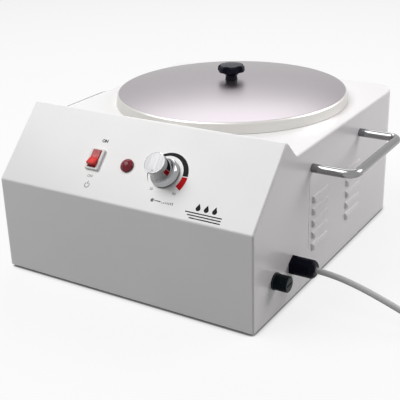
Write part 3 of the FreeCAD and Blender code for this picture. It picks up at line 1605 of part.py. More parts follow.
def make_lid_washer():
    body = turned("lid_knob_washer", [
        (lid_screw + cutout_fit, 0),
        (lid_washer, 0),
        (lid_washer, -lid_washer_thickness),
        (lid_screw + cutout_fit, -lid_washer_thickness),
    ])
    return put(body, 0, well_middle, lid_top() - lid_wall - seat_fit)


def make_lid_screw():
    """The screw from under the lid into its knob."""
    low = -lid_washer_thickness - lid_screw_rise
    tip = lid_wall + star_tap - 1
    body = turned("lid_knob_screw", [
        (0, low),
        (lid_screw_head, low),
        (lid_screw_head, -lid_washer_thickness),
        (lid_screw, -lid_washer_thickness),
        (lid_screw, tip),
        (0, tip),
    ])
    return put(body, 0, well_middle, lid_top() - lid_wall - seat_fit)


def make_lid_knob():
    """A six-lobed moulded star knob on a flared stem."""
    neck = star_height - star_head
    body = turned("lid_knob", [
        (0, 0),
        (star_stem, 0),
        (star_stem - 0.6, neck * 0.55),
        (star_radius - 5, neck),
        (star_radius - 0.8, neck + 0.8),
        (star_radius, neck + 2.4),
        (star_radius - 0.5, star_height - 2.6),
        (star_radius - 2.5, star_height - 0.9),
        (0, star_height),
    ], {7: ("x", 0, 1)})
    hollow = sketch_on(body, "XY_Plane", star_height + 1)
    half_step = math.radians(180 / STAR_LOBES)
    reach = star_radius + star_hollow - star_hollow_depth
    circle(hollow, reach * math.cos(half_step), reach * math.sin(half_step), star_hollow)
    cut = pocket(body, hollow, star_head + 1.4)
    ring_pattern(body, [cut], STAR_LOBES)
    doc.recompute()
    tap = circle(sketch_on(body), 0, 0, lid_screw + seat_fit)
    pocket(body, tap, star_tap, up=True)
    put(body, 0, well_middle, lid_top(), Z_AXIS, STAR_TURN)
    return body


# ---------------------------------------------------------------- cord, coil and plug

def cord_points():
    """The cord's free stretch, from inside the gland down to the table and to the coil's side."""
    mouth = number(gland_end)
    y = number(front + gland_setback)
    z = number(inlet_height)
    return [
        Vector(mouth - 16, y, z),
        Vector(mouth + 5, y, z),
        Vector(mouth + 28, y, z - 1),
        Vector(mouth + 54, y, z - 6),
        Vector(mouth + 82, y, z - 17),
        Vector(mouth + 110, y, z - 29.5),
        Vector(mouth + 137, y, z - 35.6),
        Vector(mouth + 163, y, z - 35.9),
    ]


def tail_points():
    """The last of the cord, from the coil's other side into the plug's neck."""
    x = number(plug_middle_x)
    start = number(coil_middle_y)
    end = number(plug_middle_y - plug_neck)
    return [
        Vector(x, start, 6),
        Vector(x, start + 18, 6),
        Vector(x, end - 18, number(neck_height) - 0.2),
        Vector(x, end, number(neck_height)),
    ]


def make_coil():
    """The outer shape of the cord's put-away length, wound in a neat ring."""
    body = turned("mains_cord_coil", [
        (coil_inner, 0),
        (coil_outer, 0),
        (coil_outer, coil_height),
        (coil_inner, coil_height),
    ])
    return put(body, coil_middle_x, coil_middle_y, 0)


def make_plug():
    """An angled earthed plug lying on its back, its neck towards the coil."""
    body = new_body("plug_body")
    pad(body, circle(sketch_on(body), 0, 0, plug_radius), plug_height)
    soften(body, plug_back_round, lambda edge: flat_at(edge, 0))
    soften(body, plug_face_round, lambda edge: flat_at(edge, plug_height))
    doc.recompute()
    neck = body.newObject("PartDesign::AdditiveLoft", "Neck")
    wide = sketch_on(body, "XZ_Plane", plug_radius * 0.55)
    rectangle(wide, neck_start_width, neck_start_height, 0, neck_height)
    narrow = sketch_on(body, "XZ_Plane", plug_neck)
    rectangle(narrow, neck_end, neck_end, 0, neck_height)
    neck.Profile = wide
    neck.Sections = [narrow]
    soften(body, neck_round, lambda edge: edge.CenterOfMass.y < number(-plug_radius) and edge.Length > 12)
    return put(body, plug_middle_x, plug_middle_y, 0)


def make_plug_pins():
    body = new_body("plug_pins")
    ends = sketch_on(body, "XY_Plane", plug_height)
    for way in (-1, 1):
        circle(ends, pin_pitch * way / 2, 0, pin_radius)
    pad(body, ends, pin_length)
    soften(body, pin_round, lambda edge: flat_at(edge, plug_height + pin_length))
    return put(body, plug_middle_x, plug_middle_y, 0)


# ---------------------------------------------------------------- build, check and write

doc.recompute()
pieces = [make_casing(), make_base_plate(), make_base_screws()]
for foot_label, (foot_x, foot_y) in foot_places().items():
    pieces.append(make_foot(foot_label, foot_x, foot_y))
pieces += [
    make_well(),
    make_clamp_studs(),
    make_heat_spreader(),
    make_heating_element(),
    make_element_clamp(),
    make_clamp_nuts(),
    make_thermal_cutout(),
    make_insulation_wrap(),
    make_thermostat_body(),
    make_thermostat_nut(),
    make_thermostat_spindle(),
    make_thermostat_knob(),
    make_knob_face(),
    make_thermostat_capillary(),
    make_switch_housing(),
    make_pressed_rocker(),
    make_switch_terminals(),
    make_lamp_body(),
    make_lamp_lens(),
    make_lamp_clip(),
    make_fuse_holder(),
    make_fuse_nut(),
    make_fuse_cap(),
    make_fuse_carrier(),
    make_fuse_link(),
    make_fuse_link_ends(),
    make_gland_body(),
    make_gland_locknut(),
    make_gland_dome(),
    make_gland_seal(),
    make_handle("handle_right", 1),
    make_handle("handle_left", -1),
    make_handle_ferrules(),
    make_handle_washers(),
    make_handle_screws(),
    make_terminal_block(),
    make_block_screws(),
    make_pot(),
    make_lid(),
    make_lid_knob(),
    make_lid_washer(),
    make_lid_screw(),
    tube_along("mains_cord", cord_points(), cord_radius),
    make_coil(),
    tube_along("mains_cord_tail", tail_points(), cord_radius),
    make_plug(),
    make_plug_pins(),
]
doc.recompute()

faults = []
for item in doc.Objects:
    if "Invalid" in item.State or "Error" in item.State:
        faults.append("%s %s" % (item.Label, item.State))
for piece in pieces:
    if piece.Shape.isNull() or not piece.Shape.isValid() or not piece.Shape.Solids:
        faults.append("%s has no sound shape" % piece.Label)
if faults:
    raise ValueError("; ".join(faults))

os.makedirs("parts", exist_ok=True)
for piece in pieces:
    piece.Shape.exportStep("parts/%s.step" % piece.Label)
print("%d pieces written" % len(pieces))
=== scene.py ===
import json
import math

import bpy
from mathutils import Matrix, Vector


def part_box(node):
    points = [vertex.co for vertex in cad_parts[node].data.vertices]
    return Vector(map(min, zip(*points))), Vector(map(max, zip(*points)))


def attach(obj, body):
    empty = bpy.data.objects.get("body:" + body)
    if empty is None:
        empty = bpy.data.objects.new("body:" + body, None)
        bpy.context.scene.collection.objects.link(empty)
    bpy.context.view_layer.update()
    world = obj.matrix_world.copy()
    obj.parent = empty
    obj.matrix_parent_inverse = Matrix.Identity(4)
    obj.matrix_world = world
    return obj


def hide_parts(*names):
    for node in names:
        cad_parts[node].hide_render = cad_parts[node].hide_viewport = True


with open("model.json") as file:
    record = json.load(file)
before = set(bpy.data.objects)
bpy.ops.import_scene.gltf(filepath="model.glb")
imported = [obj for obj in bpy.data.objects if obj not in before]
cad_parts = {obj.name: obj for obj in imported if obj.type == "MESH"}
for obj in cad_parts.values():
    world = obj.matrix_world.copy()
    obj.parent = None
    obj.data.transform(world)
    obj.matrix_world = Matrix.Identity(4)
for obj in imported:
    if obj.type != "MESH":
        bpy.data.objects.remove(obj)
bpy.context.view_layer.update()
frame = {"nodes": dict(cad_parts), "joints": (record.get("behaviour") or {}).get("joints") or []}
nodes = frame["nodes"]
bpy.ops.object.select_all(action="DESELECT")


# ---- studio: camera, floor and light -------------------------------------------------------
# A short telephoto view from the front right, slightly above the lid. The table is white and
# runs on to the horizon. A painted contact shadow darkens its glow only where something all but
# touches it. A large soft box hangs over the heater from the left, and two weaker ones stand
# behind it and to its right.

camera_data = bpy.data.cameras.new("camera")
camera_data.lens = 76.43
camera_data.sensor_width = 36
camera_data.clip_end = 50
camera = bpy.data.objects.new("camera", camera_data)
bpy.context.scene.collection.objects.link(camera)
bpy.context.scene.camera = camera
view_right = Vector((0.85168, 0.52338, -0.02678))
view_forward = Vector((-0.49103, 0.77910, -0.38974))
view_up = view_right.cross(view_forward)
camera.matrix_world = Matrix.Translation((0.46872, -0.77122, 0.42290)) @ Matrix(
    (view_right, view_up, -view_forward)
).transposed().to_4x4()

bpy.context.scene.view_settings.view_transform = "Standard"


def add_node(material, kind, **values):
    """One shader node, its inputs and properties set by name."""
    node = material.node_tree.nodes.new(kind)
    for name, value in values.items():
        if hasattr(node, name):
            setattr(node, name, value)
        else:
            node.inputs[name.replace("_", " ")].default_value = value
    return node


def seen_rays(material):
    """1 for what the camera, a mirror or clear glass sees, and 0 for light on the object."""
    path = add_node(material, "ShaderNodeLightPath")
    mirror = add_node(material, "ShaderNodeMath", operation="MAXIMUM")
    either = add_node(material, "ShaderNodeMath", operation="MAXIMUM")
    join = material.node_tree.links.new
    join(path.outputs["Is Camera Ray"], mirror.inputs[0])
    join(path.outputs["Is Glossy Ray"], mirror.inputs[1])
    join(mirror.outputs[0], either.inputs[0])
    join(path.outputs["Is Transmission Ray"], either.inputs[1])
    return either.outputs[0]


bpy.ops.mesh.primitive_plane_add(size=30, location=(0, 0, 0))
floor = bpy.context.object
floor.name = "floor"
white_table = bpy.data.materials.new("white_table")
white_table.use_nodes = True
white_table.node_tree.nodes.clear()
matt = add_node(white_table, "ShaderNodeBsdfDiffuse")
tone = add_node(white_table, "ShaderNodeMapRange")
tone.inputs["To Min"].default_value = 0.33
tone.inputs["To Max"].default_value = 0.9
glow = add_node(white_table, "ShaderNodeEmission", Color=(1, 1, 1, 1), Strength=1.0)
share = add_node(white_table, "ShaderNodeMath", operation="MULTIPLY")
share.inputs[1].default_value = 0.81
# Painted contact shadow: ambient occlusion dims the white glow the camera sees wherever something all but
# touches the table.
touching = add_node(white_table, "ShaderNodeAmbientOcclusion", Distance=0.02)
painted_contact_shadow = add_node(white_table, "ShaderNodeMapRange")
painted_contact_shadow.inputs["From Min"].default_value = 0.3
painted_contact_shadow.inputs["From Max"].default_value = 0.62
painted_contact_shadow.inputs["To Min"].default_value = 0.1
mixed = add_node(white_table, "ShaderNodeMixShader")
surface = add_node(white_table, "ShaderNodeOutputMaterial")
seen = seen_rays(white_table)
white_table.node_tree.links.new(seen, tone.inputs["Value"])
white_table.node_tree.links.new(tone.outputs["Result"], matt.inputs["Color"])
white_table.node_tree.links.new(seen, share.inputs[0])
white_table.node_tree.links.new(share.outputs[0], mixed.inputs[0])
white_table.node_tree.links.new(touching.outputs["AO"], painted_contact_shadow.inputs["Value"])
white_table.node_tree.links.new(painted_contact_shadow.outputs["Result"], glow.inputs["Strength"])
white_table.node_tree.links.new(matt.outputs[0], mixed.inputs[1])
white_table.node_tree.links.new(glow.outputs[0], mixed.inputs[2])
white_table.node_tree.links.new(mixed.outputs[0], surface.inputs[0])
floor.data.materials.append(white_table)
floor.select_set(False)

world = bpy.data.worlds.new("studio")
bpy.context.scene.world = world
world.use_nodes = True
world.node_tree.nodes.clear()
room = add_node(world, "ShaderNodeBackground", Color=(1.0, 0.97, 0.98, 1), Strength=0.13)
backdrop = add_node(world, "ShaderNodeBackground", Color=(1, 1, 1, 1), Strength=0.92)
choice = add_node(world, "ShaderNodeMixShader")
sky = add_node(world, "ShaderNodeOutputWorld")
world.node_tree.links.new(seen_rays(world), choice.inputs[0])
world.node_tree.links.new(room.outputs[0], choice.inputs[1])
world.node_tree.links.new(backdrop.outputs[0], choice.inputs[2])
world.node_tree.links.new(choice.outputs[0], sky.inputs[0])


def soft_light(name, place, aim, width, depth, power, tint=(1, 1, 1)):
    """A rectangular soft box pointed at a spot on the heater."""
    box = bpy.data.lights.new(name, "AREA")
    box.shape = "RECTANGLE"
    box.size, box.size_y = width, depth
    box.energy = power
    box.color = tint
    lamp = bpy.data.objects.new(name, box)
    bpy.context.scene.collection.objects.link(lamp)
    lamp.location = place
    lamp.rotation_euler = (Vector(aim) - Vector(place)).to_track_quat("-Z", "Y").to_euler()
    return lamp


soft_light("overhead_box", (-0.65, -0.65, 1.65), (0, 0, 0.15), 1.4, 1.2, 23)
soft_light("rear_box", (-0.75, 1.2, 1.35), (0, 0.05, 0.15), 1.3, 0.6, 7.6)
soft_light("right_box", (0.95, 0.75, 0.85), (0.1, 0.12, 0.1), 1.0, 0.9, 9.2, (1, 0.95, 0.985))


# ---- casing --------------------------------------------------------------------------------
# One folded and welded shell of 1.2 mm steel: front, console, ridge, deck, back and two sides
# with pressed louvres. It is sprayed with white stove enamel, glossy with a fine orange peel.

def finish(name, colour, **sockets):
    """A material of one colour whose main shader has the given socket values."""
    material = bpy.data.materials.new(name)
    material.use_nodes = True
    shader = material.node_tree.nodes["Principled BSDF"]
    shader.inputs["Base Color"].default_value = (*colour, 1)
    for socket, value in sockets.items():
        shader.inputs[socket.replace("_", " ")].default_value = value
    return material


def place_on(material, centre=(0, 0, 0), stretch=(1, 1, 1), turn=(0, 0, 0)):
    """The piece's own coordinates, measured from a centre, for a pattern."""
    where = add_node(material, "ShaderNodeTexCoord")
    moved = add_node(material, "ShaderNodeMapping", vector_type="TEXTURE")
    moved.inputs["Location"].default_value = centre
    moved.inputs["Rotation"].default_value = turn
    moved.inputs["Scale"].default_value = stretch
    material.node_tree.links.new(where.outputs["Object"], moved.inputs["Vector"])
    return moved.outputs["Vector"]


def speckle(material, where, grain, detail=2.0):
    """Clouds or grains of about the given size in metres, from 0 to 1."""
    noise = add_node(material, "ShaderNodeTexNoise", Scale=1 / grain, Detail=detail)
    material.node_tree.links.new(where, noise.inputs["Vector"])
    span = add_node(material, "ShaderNodeMapRange", clamp=False)
    span.inputs["From Min"].default_value = 0.2
    span.inputs["From Max"].default_value = 0.8
    material.node_tree.links.new(noise.outputs["Fac"], span.inputs["Value"])
    return span.outputs["Result"]


def vary(material, socket, pattern, low, high):
    """Drive a socket of the main shader from a pattern, between two values or colours."""
    shader = material.node_tree.nodes["Principled BSDF"]
    if isinstance(low, tuple):
        blend = add_node(material, "ShaderNodeMix", data_type="RGBA")
        material.node_tree.links.new(pattern, blend.inputs[0])
        blend.inputs[6].default_value = (*low, 1)
        blend.inputs[7].default_value = (*high, 1)
        material.node_tree.links.new(blend.outputs[2], shader.inputs[socket])
    else:
        span = add_node(material, "ShaderNodeMapRange")
        span.inputs["To Min"].default_value = low
        span.inputs["To Max"].default_value = high
        material.node_tree.links.new(pattern, span.inputs["Value"])
        material.node_tree.links.new(span.outputs["Result"], shader.inputs[socket])


def raise_by(material, pattern, height, strength=1.0):
    """Let a pattern stand up from the surface by a height in metres."""
    shader = material.node_tree.nodes["Principled BSDF"]
    bump = add_node(material, "ShaderNodeBump", Strength=strength, Distance=height)
    if shader.inputs["Normal"].is_linked:
        earlier = shader.inputs["Normal"].links[0].from_socket
        material.node_tree.links.new(earlier, bump.inputs["Normal"])
    material.node_tree.links.new(pattern, bump.inputs["Height"])
    material.node_tree.links.new(bump.outputs["Normal"], shader.inputs["Normal"])


def coat(material, *names):
    """Give CAD pieces a finish in place of the plain one they came with."""
    for name in names:
        nodes[name].data.materials.clear()
        nodes[name].data.materials.append(material)


white_enamel = finish(
    "white_enamel", (0.87, 0.865, 0.86), Roughness=0.35, Coat_Weight=0.2, Coat_Roughness=0.12
)
paint = place_on(white_enamel)
vary(
    white_enamel,
    "Base Color",
    speckle(white_enamel, paint, 0.09),
    (0.86, 0.853, 0.85),
    (0.89, 0.885, 0.88),
)
vary(white_enamel, "Roughness", speckle(white_enamel, paint, 0.03), 0.27, 0.36)
raise_by(white_enamel, speckle(white_enamel, paint, 0.0025, 0.0), 0.00001, 0.3)
coat(white_enamel, "casing")


# ---- console printing ----------------------------------------------------------------------
# Screen-printed marks in black, grey and red ink: ON and OFF at the switch, a scale that widens
# clockwise round the thermostat knob and ends in red, plain symbols, drops and three stripes.

INK = 0.00006
CAP_HEIGHT = 0.0032
knob_joint = next(joint for joint in frame["joints"] if joint["name"] == "thermostat_turn")
rocker_joint = next(joint for joint in frame["joints"] if joint["name"] == "rocker_tip")
console_out = -Vector(knob_joint["axis"]).normalized()
console_up = console_out.cross(Vector((1, 0, 0))).normalized()
console_turn = Matrix((Vector((1, 0, 0)), console_up, console_out)).transposed()
knob_centre = Vector(knob_joint["pos_m"])
console_frame = Matrix.Translation(knob_centre) @ console_turn.to_4x4()
console_angles = tuple(console_turn.to_euler())
switch_across = rocker_joint["pos_m"][0] - knob_centre.x

black_ink = finish("black_ink", (0.01, 0.01, 0.012), Roughness=0.6, Specular_IOR_Level=0.1)
ink = speckle(black_ink, place_on(black_ink), 0.0008)
vary(black_ink, "Base Color", ink, (0.005, 0.005, 0.006), (0.02, 0.02, 0.024))
grey_ink = finish("grey_ink", (0.2, 0.2, 0.2), Roughness=0.6, Specular_IOR_Level=0.1)
ink = speckle(grey_ink, place_on(grey_ink), 0.0008)
vary(grey_ink, "Base Color", ink, (0.13, 0.13, 0.13), (0.23, 0.23, 0.23))
red_ink = finish("red_ink", (0.6, 0.003, 0.01), Roughness=0.6, Specular_IOR_Level=0.1)
ink = speckle(red_ink, place_on(red_ink), 0.0008)
vary(red_ink, "Base Color", ink, (0.52, 0.001, 0.006), (0.68, 0.006, 0.014))


def flat_shape(name, *loops):
    """A thin filled shape from closed loops of (x, y) points."""
    shape = bpy.data.curves.new(name, "CURVE")
    shape.dimensions = "2D"
    shape.fill_mode = "BOTH"
    shape.extrude = INK / 2
    for loop in loops:
        edge = shape.splines.new("POLY")
        edge.points.add(len(loop) - 1)
        for point, (x, y) in zip(edge.points, loop):
            point.co = (x, y, 0, 1)
        edge.use_cyclic_u = True
    piece = bpy.data.objects.new(name, shape)
    bpy.context.scene.collection.objects.link(piece)
    return piece


def letters(name, text, height, weight=0.0):
    """Plain block letters or figures of a given capital height and extra weight."""
    bpy.ops.object.text_add()
    piece = bpy.context.object
    piece.name = name
    piece.data.body = text
    piece.data.size = height / 0.7
    piece.data.offset = height * weight
    piece.data.extrude = INK / 2
    piece.data.align_x = "CENTER"
    piece.data.align_y = "CENTER"
    return piece


def ring_stretch(radius, width, start, end, steps=24):
    """The outline of part of a ring between two angles in degrees."""
    turns = [math.radians(start + (end - start) * k / steps) for k in range(steps + 1)]
    outer, inner = radius + width / 2, radius - width / 2
    there = [(outer * math.cos(turn), outer * math.sin(turn)) for turn in turns]
    back = [(inner * math.cos(turn), inner * math.sin(turn)) for turn in reversed(turns)]
    return there + back


def bar(x, y, width, height):
    """The outline of an upright rectangle about a middle."""
    left, right, low, high = x - width / 2, x + width / 2, y - height / 2, y + height / 2
    return [(left, low), (right, low), (right, high), (left, high)]


def print_mark(piece, colour, across, up, body="chassis", surface=console_frame):
    """Lay a flat mark on a surface as ink and fix it to its body."""
    bpy.ops.object.select_all(action="DESELECT")
    piece.select_set(True)
    bpy.context.view_layer.objects.active = piece
    bpy.ops.object.convert(target="MESH")
    piece.matrix_world = surface @ Matrix.Translation((across, up, INK / 2))
    bpy.ops.object.transform_apply(location=True, rotation=True, scale=True)
    piece.data.materials.clear()
    piece.data.materials.append(colour)
    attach(piece, body)
    piece.select_set(False)
    return piece


print_mark(
    letters("mark_on", "ON", CAP_HEIGHT, 0.06),
    black_ink,
    switch_across + 0.0019,
    0.0212,
)
print_mark(
    letters("mark_off", "OFF", CAP_HEIGHT * 0.85),
    grey_ink,
    switch_across + 0.0015,
    -0.0181,
)

power_ring = ring_stretch(0.0026, 0.0007, 125, 415)
power_stem = bar(0, 0.0026, 0.0007, 0.0034)
power_mark = flat_shape("mark_power", power_ring, power_stem)
print_mark(power_mark, grey_ink, switch_across + 0.0021, -0.0277)

SCALE_INSIDE = 0.0188
SCALE_START = 222
SCALE_END = -33
SCALE_WIDEST = 0.0068


def scale_stretch(start, end, steps):
    """The outline of part of the scale; its width grows steadily from its start."""
    inside, outside = [], []
    for k in range(steps + 1):
        angle = start + (end - start) * k / steps
        width = SCALE_WIDEST * (SCALE_START - angle) / (SCALE_START - SCALE_END)
        way = Vector((math.cos(math.radians(angle)), math.sin(math.radians(angle))))
        inside.append(tuple(way * SCALE_INSIDE))
        outside.append(tuple(way * (SCALE_INSIDE + width)))
    return inside + outside[::-1]


print_mark(
    flat_shape("scale_black", scale_stretch(SCALE_START - 1, 2.5, 60)), black_ink, 0, 0
)
print_mark(flat_shape("scale_red", scale_stretch(0, SCALE_END, 12)), red_ink, 0, 0)
print_mark(letters("mark_low", "30", CAP_HEIGHT * 0.85), grey_ink, -0.0086, -0.0179)
print_mark(letters("mark_high", "90", CAP_HEIGHT * 0.85), grey_ink, 0.0172, -0.0183)

glass_tube = bar(-0.0012, 0, 0.0085, 0.0012)
glass_bulb = [(x - 0.0063, y) for x, y in ring_stretch(0.0009, 0.0018, 0, 345, 23)]
thermometer = flat_shape("mark_thermometer", glass_tube, glass_bulb)
print_mark(thermometer, grey_ink, 0.0035, -0.0284)
for step in range(7):
    height = 0.001 + 0.00035 * step
    warmth = flat_shape("mark_heat_%d" % (step + 1), bar(0, height / 2, 0.0008, height))
    print_mark(warmth, grey_ink, 0.0085 + 0.0019 * step, -0.0297)


def drop(height):
    """The outline of a drop: a round foot drawn up to a point."""
    radius = height * 0.32
    middle = radius - height / 2
    lean = math.degrees(math.acos(radius / (height / 2 - middle)))
    turns = [math.radians(90 - lean - (360 - 2 * lean) * k / 24) for k in range(25)]
    round_foot = [(radius * math.cos(turn), middle + radius * math.sin(turn)) for turn in turns]
    return round_foot + [(0, height / 2)]


for place in range(3):
    falling = flat_shape("mark_drop_%d" % (place + 1), drop(0.0076))
    print_mark(falling, black_ink, 0.0475 + 0.0088 * place, -0.0258)
for line in range(3):
    left, right = 0.0355 + 0.003 * line, 0.0745
    stripe = flat_shape("stripe_%d" % (line + 1), bar(0, 0, right - left, 0.0011))
    print_mark(stripe, black_ink, (left + right) / 2, -0.0319 - 0.00265 * line)


# ---- base plate, screws and feet -----------------------------------------------------------
# The base is a flat sheet of zinc-coated steel with air slots, held by pan-head screws. Four
# moulded rubber feet are pressed into it by their barbed stems.

def spangle(material, where, grain):
    """Crystals as on zinc-coated sheet, each with a tone of its own from 0 to 1."""
    crystals = add_node(material, "ShaderNodeTexVoronoi", Scale=1 / grain)
    tone = add_node(material, "ShaderNodeRGBToBW")
    material.node_tree.links.new(where, crystals.inputs["Vector"])
    material.node_tree.links.new(crystals.outputs["Color"], tone.inputs[0])
    return tone.outputs[0]


zinc_plate = finish("zinc_plate", (0.58, 0.59, 0.6), Metallic=1.0, Roughness=0.4)
sheet = place_on(zinc_plate)
vary(zinc_plate, "Base Color", spangle(zinc_plate, sheet, 0.007), (0.5, 0.51, 0.52), (0.66, 0.67, 0.68))
vary(zinc_plate, "Roughness", spangle(zinc_plate, sheet, 0.007), 0.3, 0.48)
coat(zinc_plate, "base_plate", "element_clamp")

zinc_screw = finish("zinc_screw", (0.66, 0.68, 0.72), Metallic=1.0, Roughness=0.28)
plating = place_on(zinc_screw)
vary(zinc_screw, "Base Color", speckle(zinc_screw, plating, 0.004), (0.6, 0.62, 0.66), (0.7, 0.71, 0.72))
vary(zinc_screw, "Roughness", speckle(zinc_screw, plating, 0.0015), 0.22, 0.36)
coat(zinc_screw, "base_screws", "clamp_studs", "clamp_nuts", "block_screws", "handle_screws")
coat(zinc_screw, "handle_washers", "lid_knob_screw", "lid_knob_washer", "thermostat_nut")

foot_rubber = finish("foot_rubber", (0.02, 0.02, 0.02), Roughness=0.75)
moulded = place_on(foot_rubber)
vary(
    foot_rubber,
    "Base Color",
    speckle(foot_rubber, moulded, 0.005),
    (0.016, 0.016, 0.016),
    (0.04, 0.039, 0.038),
)
raise_by(foot_rubber, speckle(foot_rubber, moulded, 0.0005), 0.00003, 0.5)
coat(foot_rubber, "foot_front_left", "foot_front_right", "foot_rear_left", "foot_rear_right")


# ---- well and heater -----------------------------------------------------------------------
# A spun steel cup hangs in the deck. Under it lie a cast disc, a sheathed element gone brown
# with heat, its pressed clamp and a safety cut-out, and a mineral-fibre jacket goes round it.

well_low, well_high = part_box("well")
well_axis = ((well_low + well_high) / 2).xy.to_3d()


def turned_lines(material, where, pitch, detail=2.0):
    """Fine rings about the pattern's z axis, as a lathe tool leaves them, from 0 to 1."""
    level = add_node(material, "ShaderNodeVectorMath", operation="MULTIPLY")
    level.inputs[1].default_value = (1, 1, 0)
    reach = add_node(material, "ShaderNodeVectorMath", operation="LENGTH")
    rings = add_node(
        material, "ShaderNodeTexNoise", noise_dimensions="1D", Scale=1 / pitch, Detail=detail
    )
    material.node_tree.links.new(where, level.inputs[0])
    material.node_tree.links.new(level.outputs[0], reach.inputs[0])
    material.node_tree.links.new(reach.outputs["Value"], rings.inputs["W"])
    return rings.outputs["Fac"]


well_steel = finish("well_steel", (0.5, 0.5, 0.5), Metallic=1.0, Roughness=0.38)
spun = place_on(well_steel, well_axis)
vary(well_steel, "Base Color", speckle(well_steel, spun, 0.03), (0.44, 0.44, 0.44), (0.56, 0.555, 0.55))
vary(well_steel, "Roughness", turned_lines(well_steel, spun, 0.0012), 0.28, 0.5)
raise_by(well_steel, turned_lines(well_steel, spun, 0.0016), 0.00004, 0.6)
coat(well_steel, "well")

cast_aluminium = finish("cast_aluminium", (0.55, 0.55, 0.56), Metallic=1.0, Roughness=0.55)
cast = place_on(cast_aluminium)
vary(
    cast_aluminium,
    "Base Color",
    speckle(cast_aluminium, cast, 0.012),
    (0.46, 0.46, 0.47),
    (0.6, 0.6, 0.61),
)
raise_by(cast_aluminium, speckle(cast_aluminium, cast, 0.0012), 0.00008, 0.6)
coat(cast_aluminium, "heat_spreader")

heated_steel = finish("heated_steel", (0.12, 0.09, 0.075), Metallic=0.8, Roughness=0.55)
scaled = place_on(heated_steel)
vary(
    heated_steel,
    "Base Color",
    speckle(heated_steel, scaled, 0.015, 4),
    (0.07, 0.055, 0.05),
    (0.18, 0.12, 0.09),
)
raise_by(heated_steel, speckle(heated_steel, scaled, 0.0008), 0.00003, 0.5)
coat(heated_steel, "heating_element")

mineral_fibre = finish("mineral_fibre", (0.7, 0.66, 0.55), Roughness=0.95, Sheen_Weight=0.3)
matted = place_on(mineral_fibre, stretch=(3, 3, 1))
vary(
    mineral_fibre,
    "Base Color",
    speckle(mineral_fibre, matted, 0.004, 5),
    (0.6, 0.55, 0.44),
    (0.78, 0.74, 0.64),
)
raise_by(mineral_fibre, speckle(mineral_fibre, matted, 0.0015, 5), 0.0008, 0.8)
coat(mineral_fibre, "insulation_wrap")


# ---- thermostat ----------------------------------------------------------------------------
# A phenolic switch block behind the console, its bush and nut through it, a flatted spindle and
# a copper capillary. The knob is chromed and carries a satin disc brushed towards its dot.

dark_phenolic = finish("dark_phenolic", (0.035, 0.028, 0.024), Roughness=0.45)
pressed = place_on(dark_phenolic)
vary(
    dark_phenolic,
    "Base Color",
    speckle(dark_phenolic, pressed, 0.003, 4),
    (0.025, 0.02, 0.018),
    (0.06, 0.045, 0.038),
)
vary(dark_phenolic, "Roughness", speckle(dark_phenolic, pressed, 0.006), 0.38, 0.55)
coat(dark_phenolic, "thermostat_body", "thermal_cutout")

brushed_shaft = finish("brushed_shaft", (0.6, 0.6, 0.6), Metallic=1.0, Roughness=0.3)
shaft = place_on(brushed_shaft, knob_centre, turn=console_angles)
vary(brushed_shaft, "Roughness", turned_lines(brushed_shaft, shaft, 0.0004), 0.22, 0.42)
raise_by(brushed_shaft, speckle(brushed_shaft, shaft, 0.0006), 0.00001, 0.4)
coat(brushed_shaft, "thermostat_spindle")

copper_tube = finish("copper_tube", (0.7, 0.38, 0.24), Metallic=1.0, Roughness=0.3)
drawn = place_on(copper_tube)
vary(copper_tube, "Base Color", speckle(copper_tube, drawn, 0.01), (0.5, 0.25, 0.15), (0.76, 0.43, 0.28))
coat(copper_tube, "thermostat_capillary")

knob_chrome = finish("knob_chrome", (0.34, 0.345, 0.355), Metallic=1.0, Roughness=0.07)
polished = place_on(knob_chrome)
vary(knob_chrome, "Roughness", speckle(knob_chrome, polished, 0.006), 0.04, 0.1)
coat(knob_chrome, "thermostat_knob")

knob_satin = finish("knob_satin", (0.42, 0.42, 0.43), Metallic=1.0, Roughness=0.62)
brushed = place_on(knob_satin, knob_centre, (1, 40, 1), console_angles)
grain = speckle(knob_satin, brushed, 0.0007, 3)
vary(knob_satin, "Base Color", grain, (0.3, 0.3, 0.31), (0.5, 0.5, 0.51))
vary(knob_satin, "Roughness", speckle(knob_satin, brushed, 0.0009, 3), 0.55, 0.68)
raise_by(knob_satin, speckle(knob_satin, brushed, 0.0006, 3), 0.00002, 0.5)
coat(knob_satin, "knob_face")


# ---- rocker switch and lamp ----------------------------------------------------------------
# A snap-in mains switch: a white moulded bezel round a translucent red rocker. The lamp beside
# it is a black tube with a red faceted lens, held from behind by a spring clip.

white_moulding = finish("white_moulding", (0.8, 0.79, 0.77), Roughness=0.35, Subsurface_Weight=0.05)
moulded = place_on(white_moulding)
vary(
    white_moulding,
    "Base Color",
    speckle(white_moulding, moulded, 0.008),
    (0.78, 0.77, 0.745),
    (0.83, 0.825, 0.81),
)
vary(white_moulding, "Roughness", speckle(white_moulding, moulded, 0.002), 0.3, 0.42)
coat(white_moulding, "switch_housing")

rocker_middle = (Vector(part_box("switch_rocker")[0]) + Vector(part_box("switch_rocker")[1])) / 2
red_rocker = finish(
    "red_rocker",
    (0.6, 0.02, 0.02),
    Specular_IOR_Level=0.3,
    Subsurface_Weight=0.35,
    Subsurface_Scale=0.004,
)
# Painted glow: the rocker's red is dark at its rim and brightens to a pale red towards a point just below
# its middle, as if lit from within.
painted_glow_centre = place_on(red_rocker, rocker_middle - console_up * 0.003, (0.008, 0.0095, 0.03), console_angles)
painted_glow = add_node(red_rocker, "ShaderNodeTexGradient", gradient_type="SPHERICAL")
red_rocker.node_tree.links.new(painted_glow_centre, painted_glow.inputs["Vector"])
vary(red_rocker, "Base Color", painted_glow.outputs["Fac"], (0.42, 0.003, 0.008), (1.0, 0.06, 0.045))
vary(red_rocker, "Roughness", speckle(red_rocker, place_on(red_rocker), 0.002), 0.12, 0.24)
coat(red_rocker, "switch_rocker")

tinned_brass = finish("tinned_brass", (0.68, 0.64, 0.55), Metallic=1.0, Roughness=0.34)
tinned = place_on(tinned_brass)
vary(
    tinned_brass,
    "Base Color",
    speckle(tinned_brass, tinned, 0.002),
    (0.6, 0.56, 0.46),
    (0.74, 0.71, 0.64),
)
coat(tinned_brass, "switch_terminals")

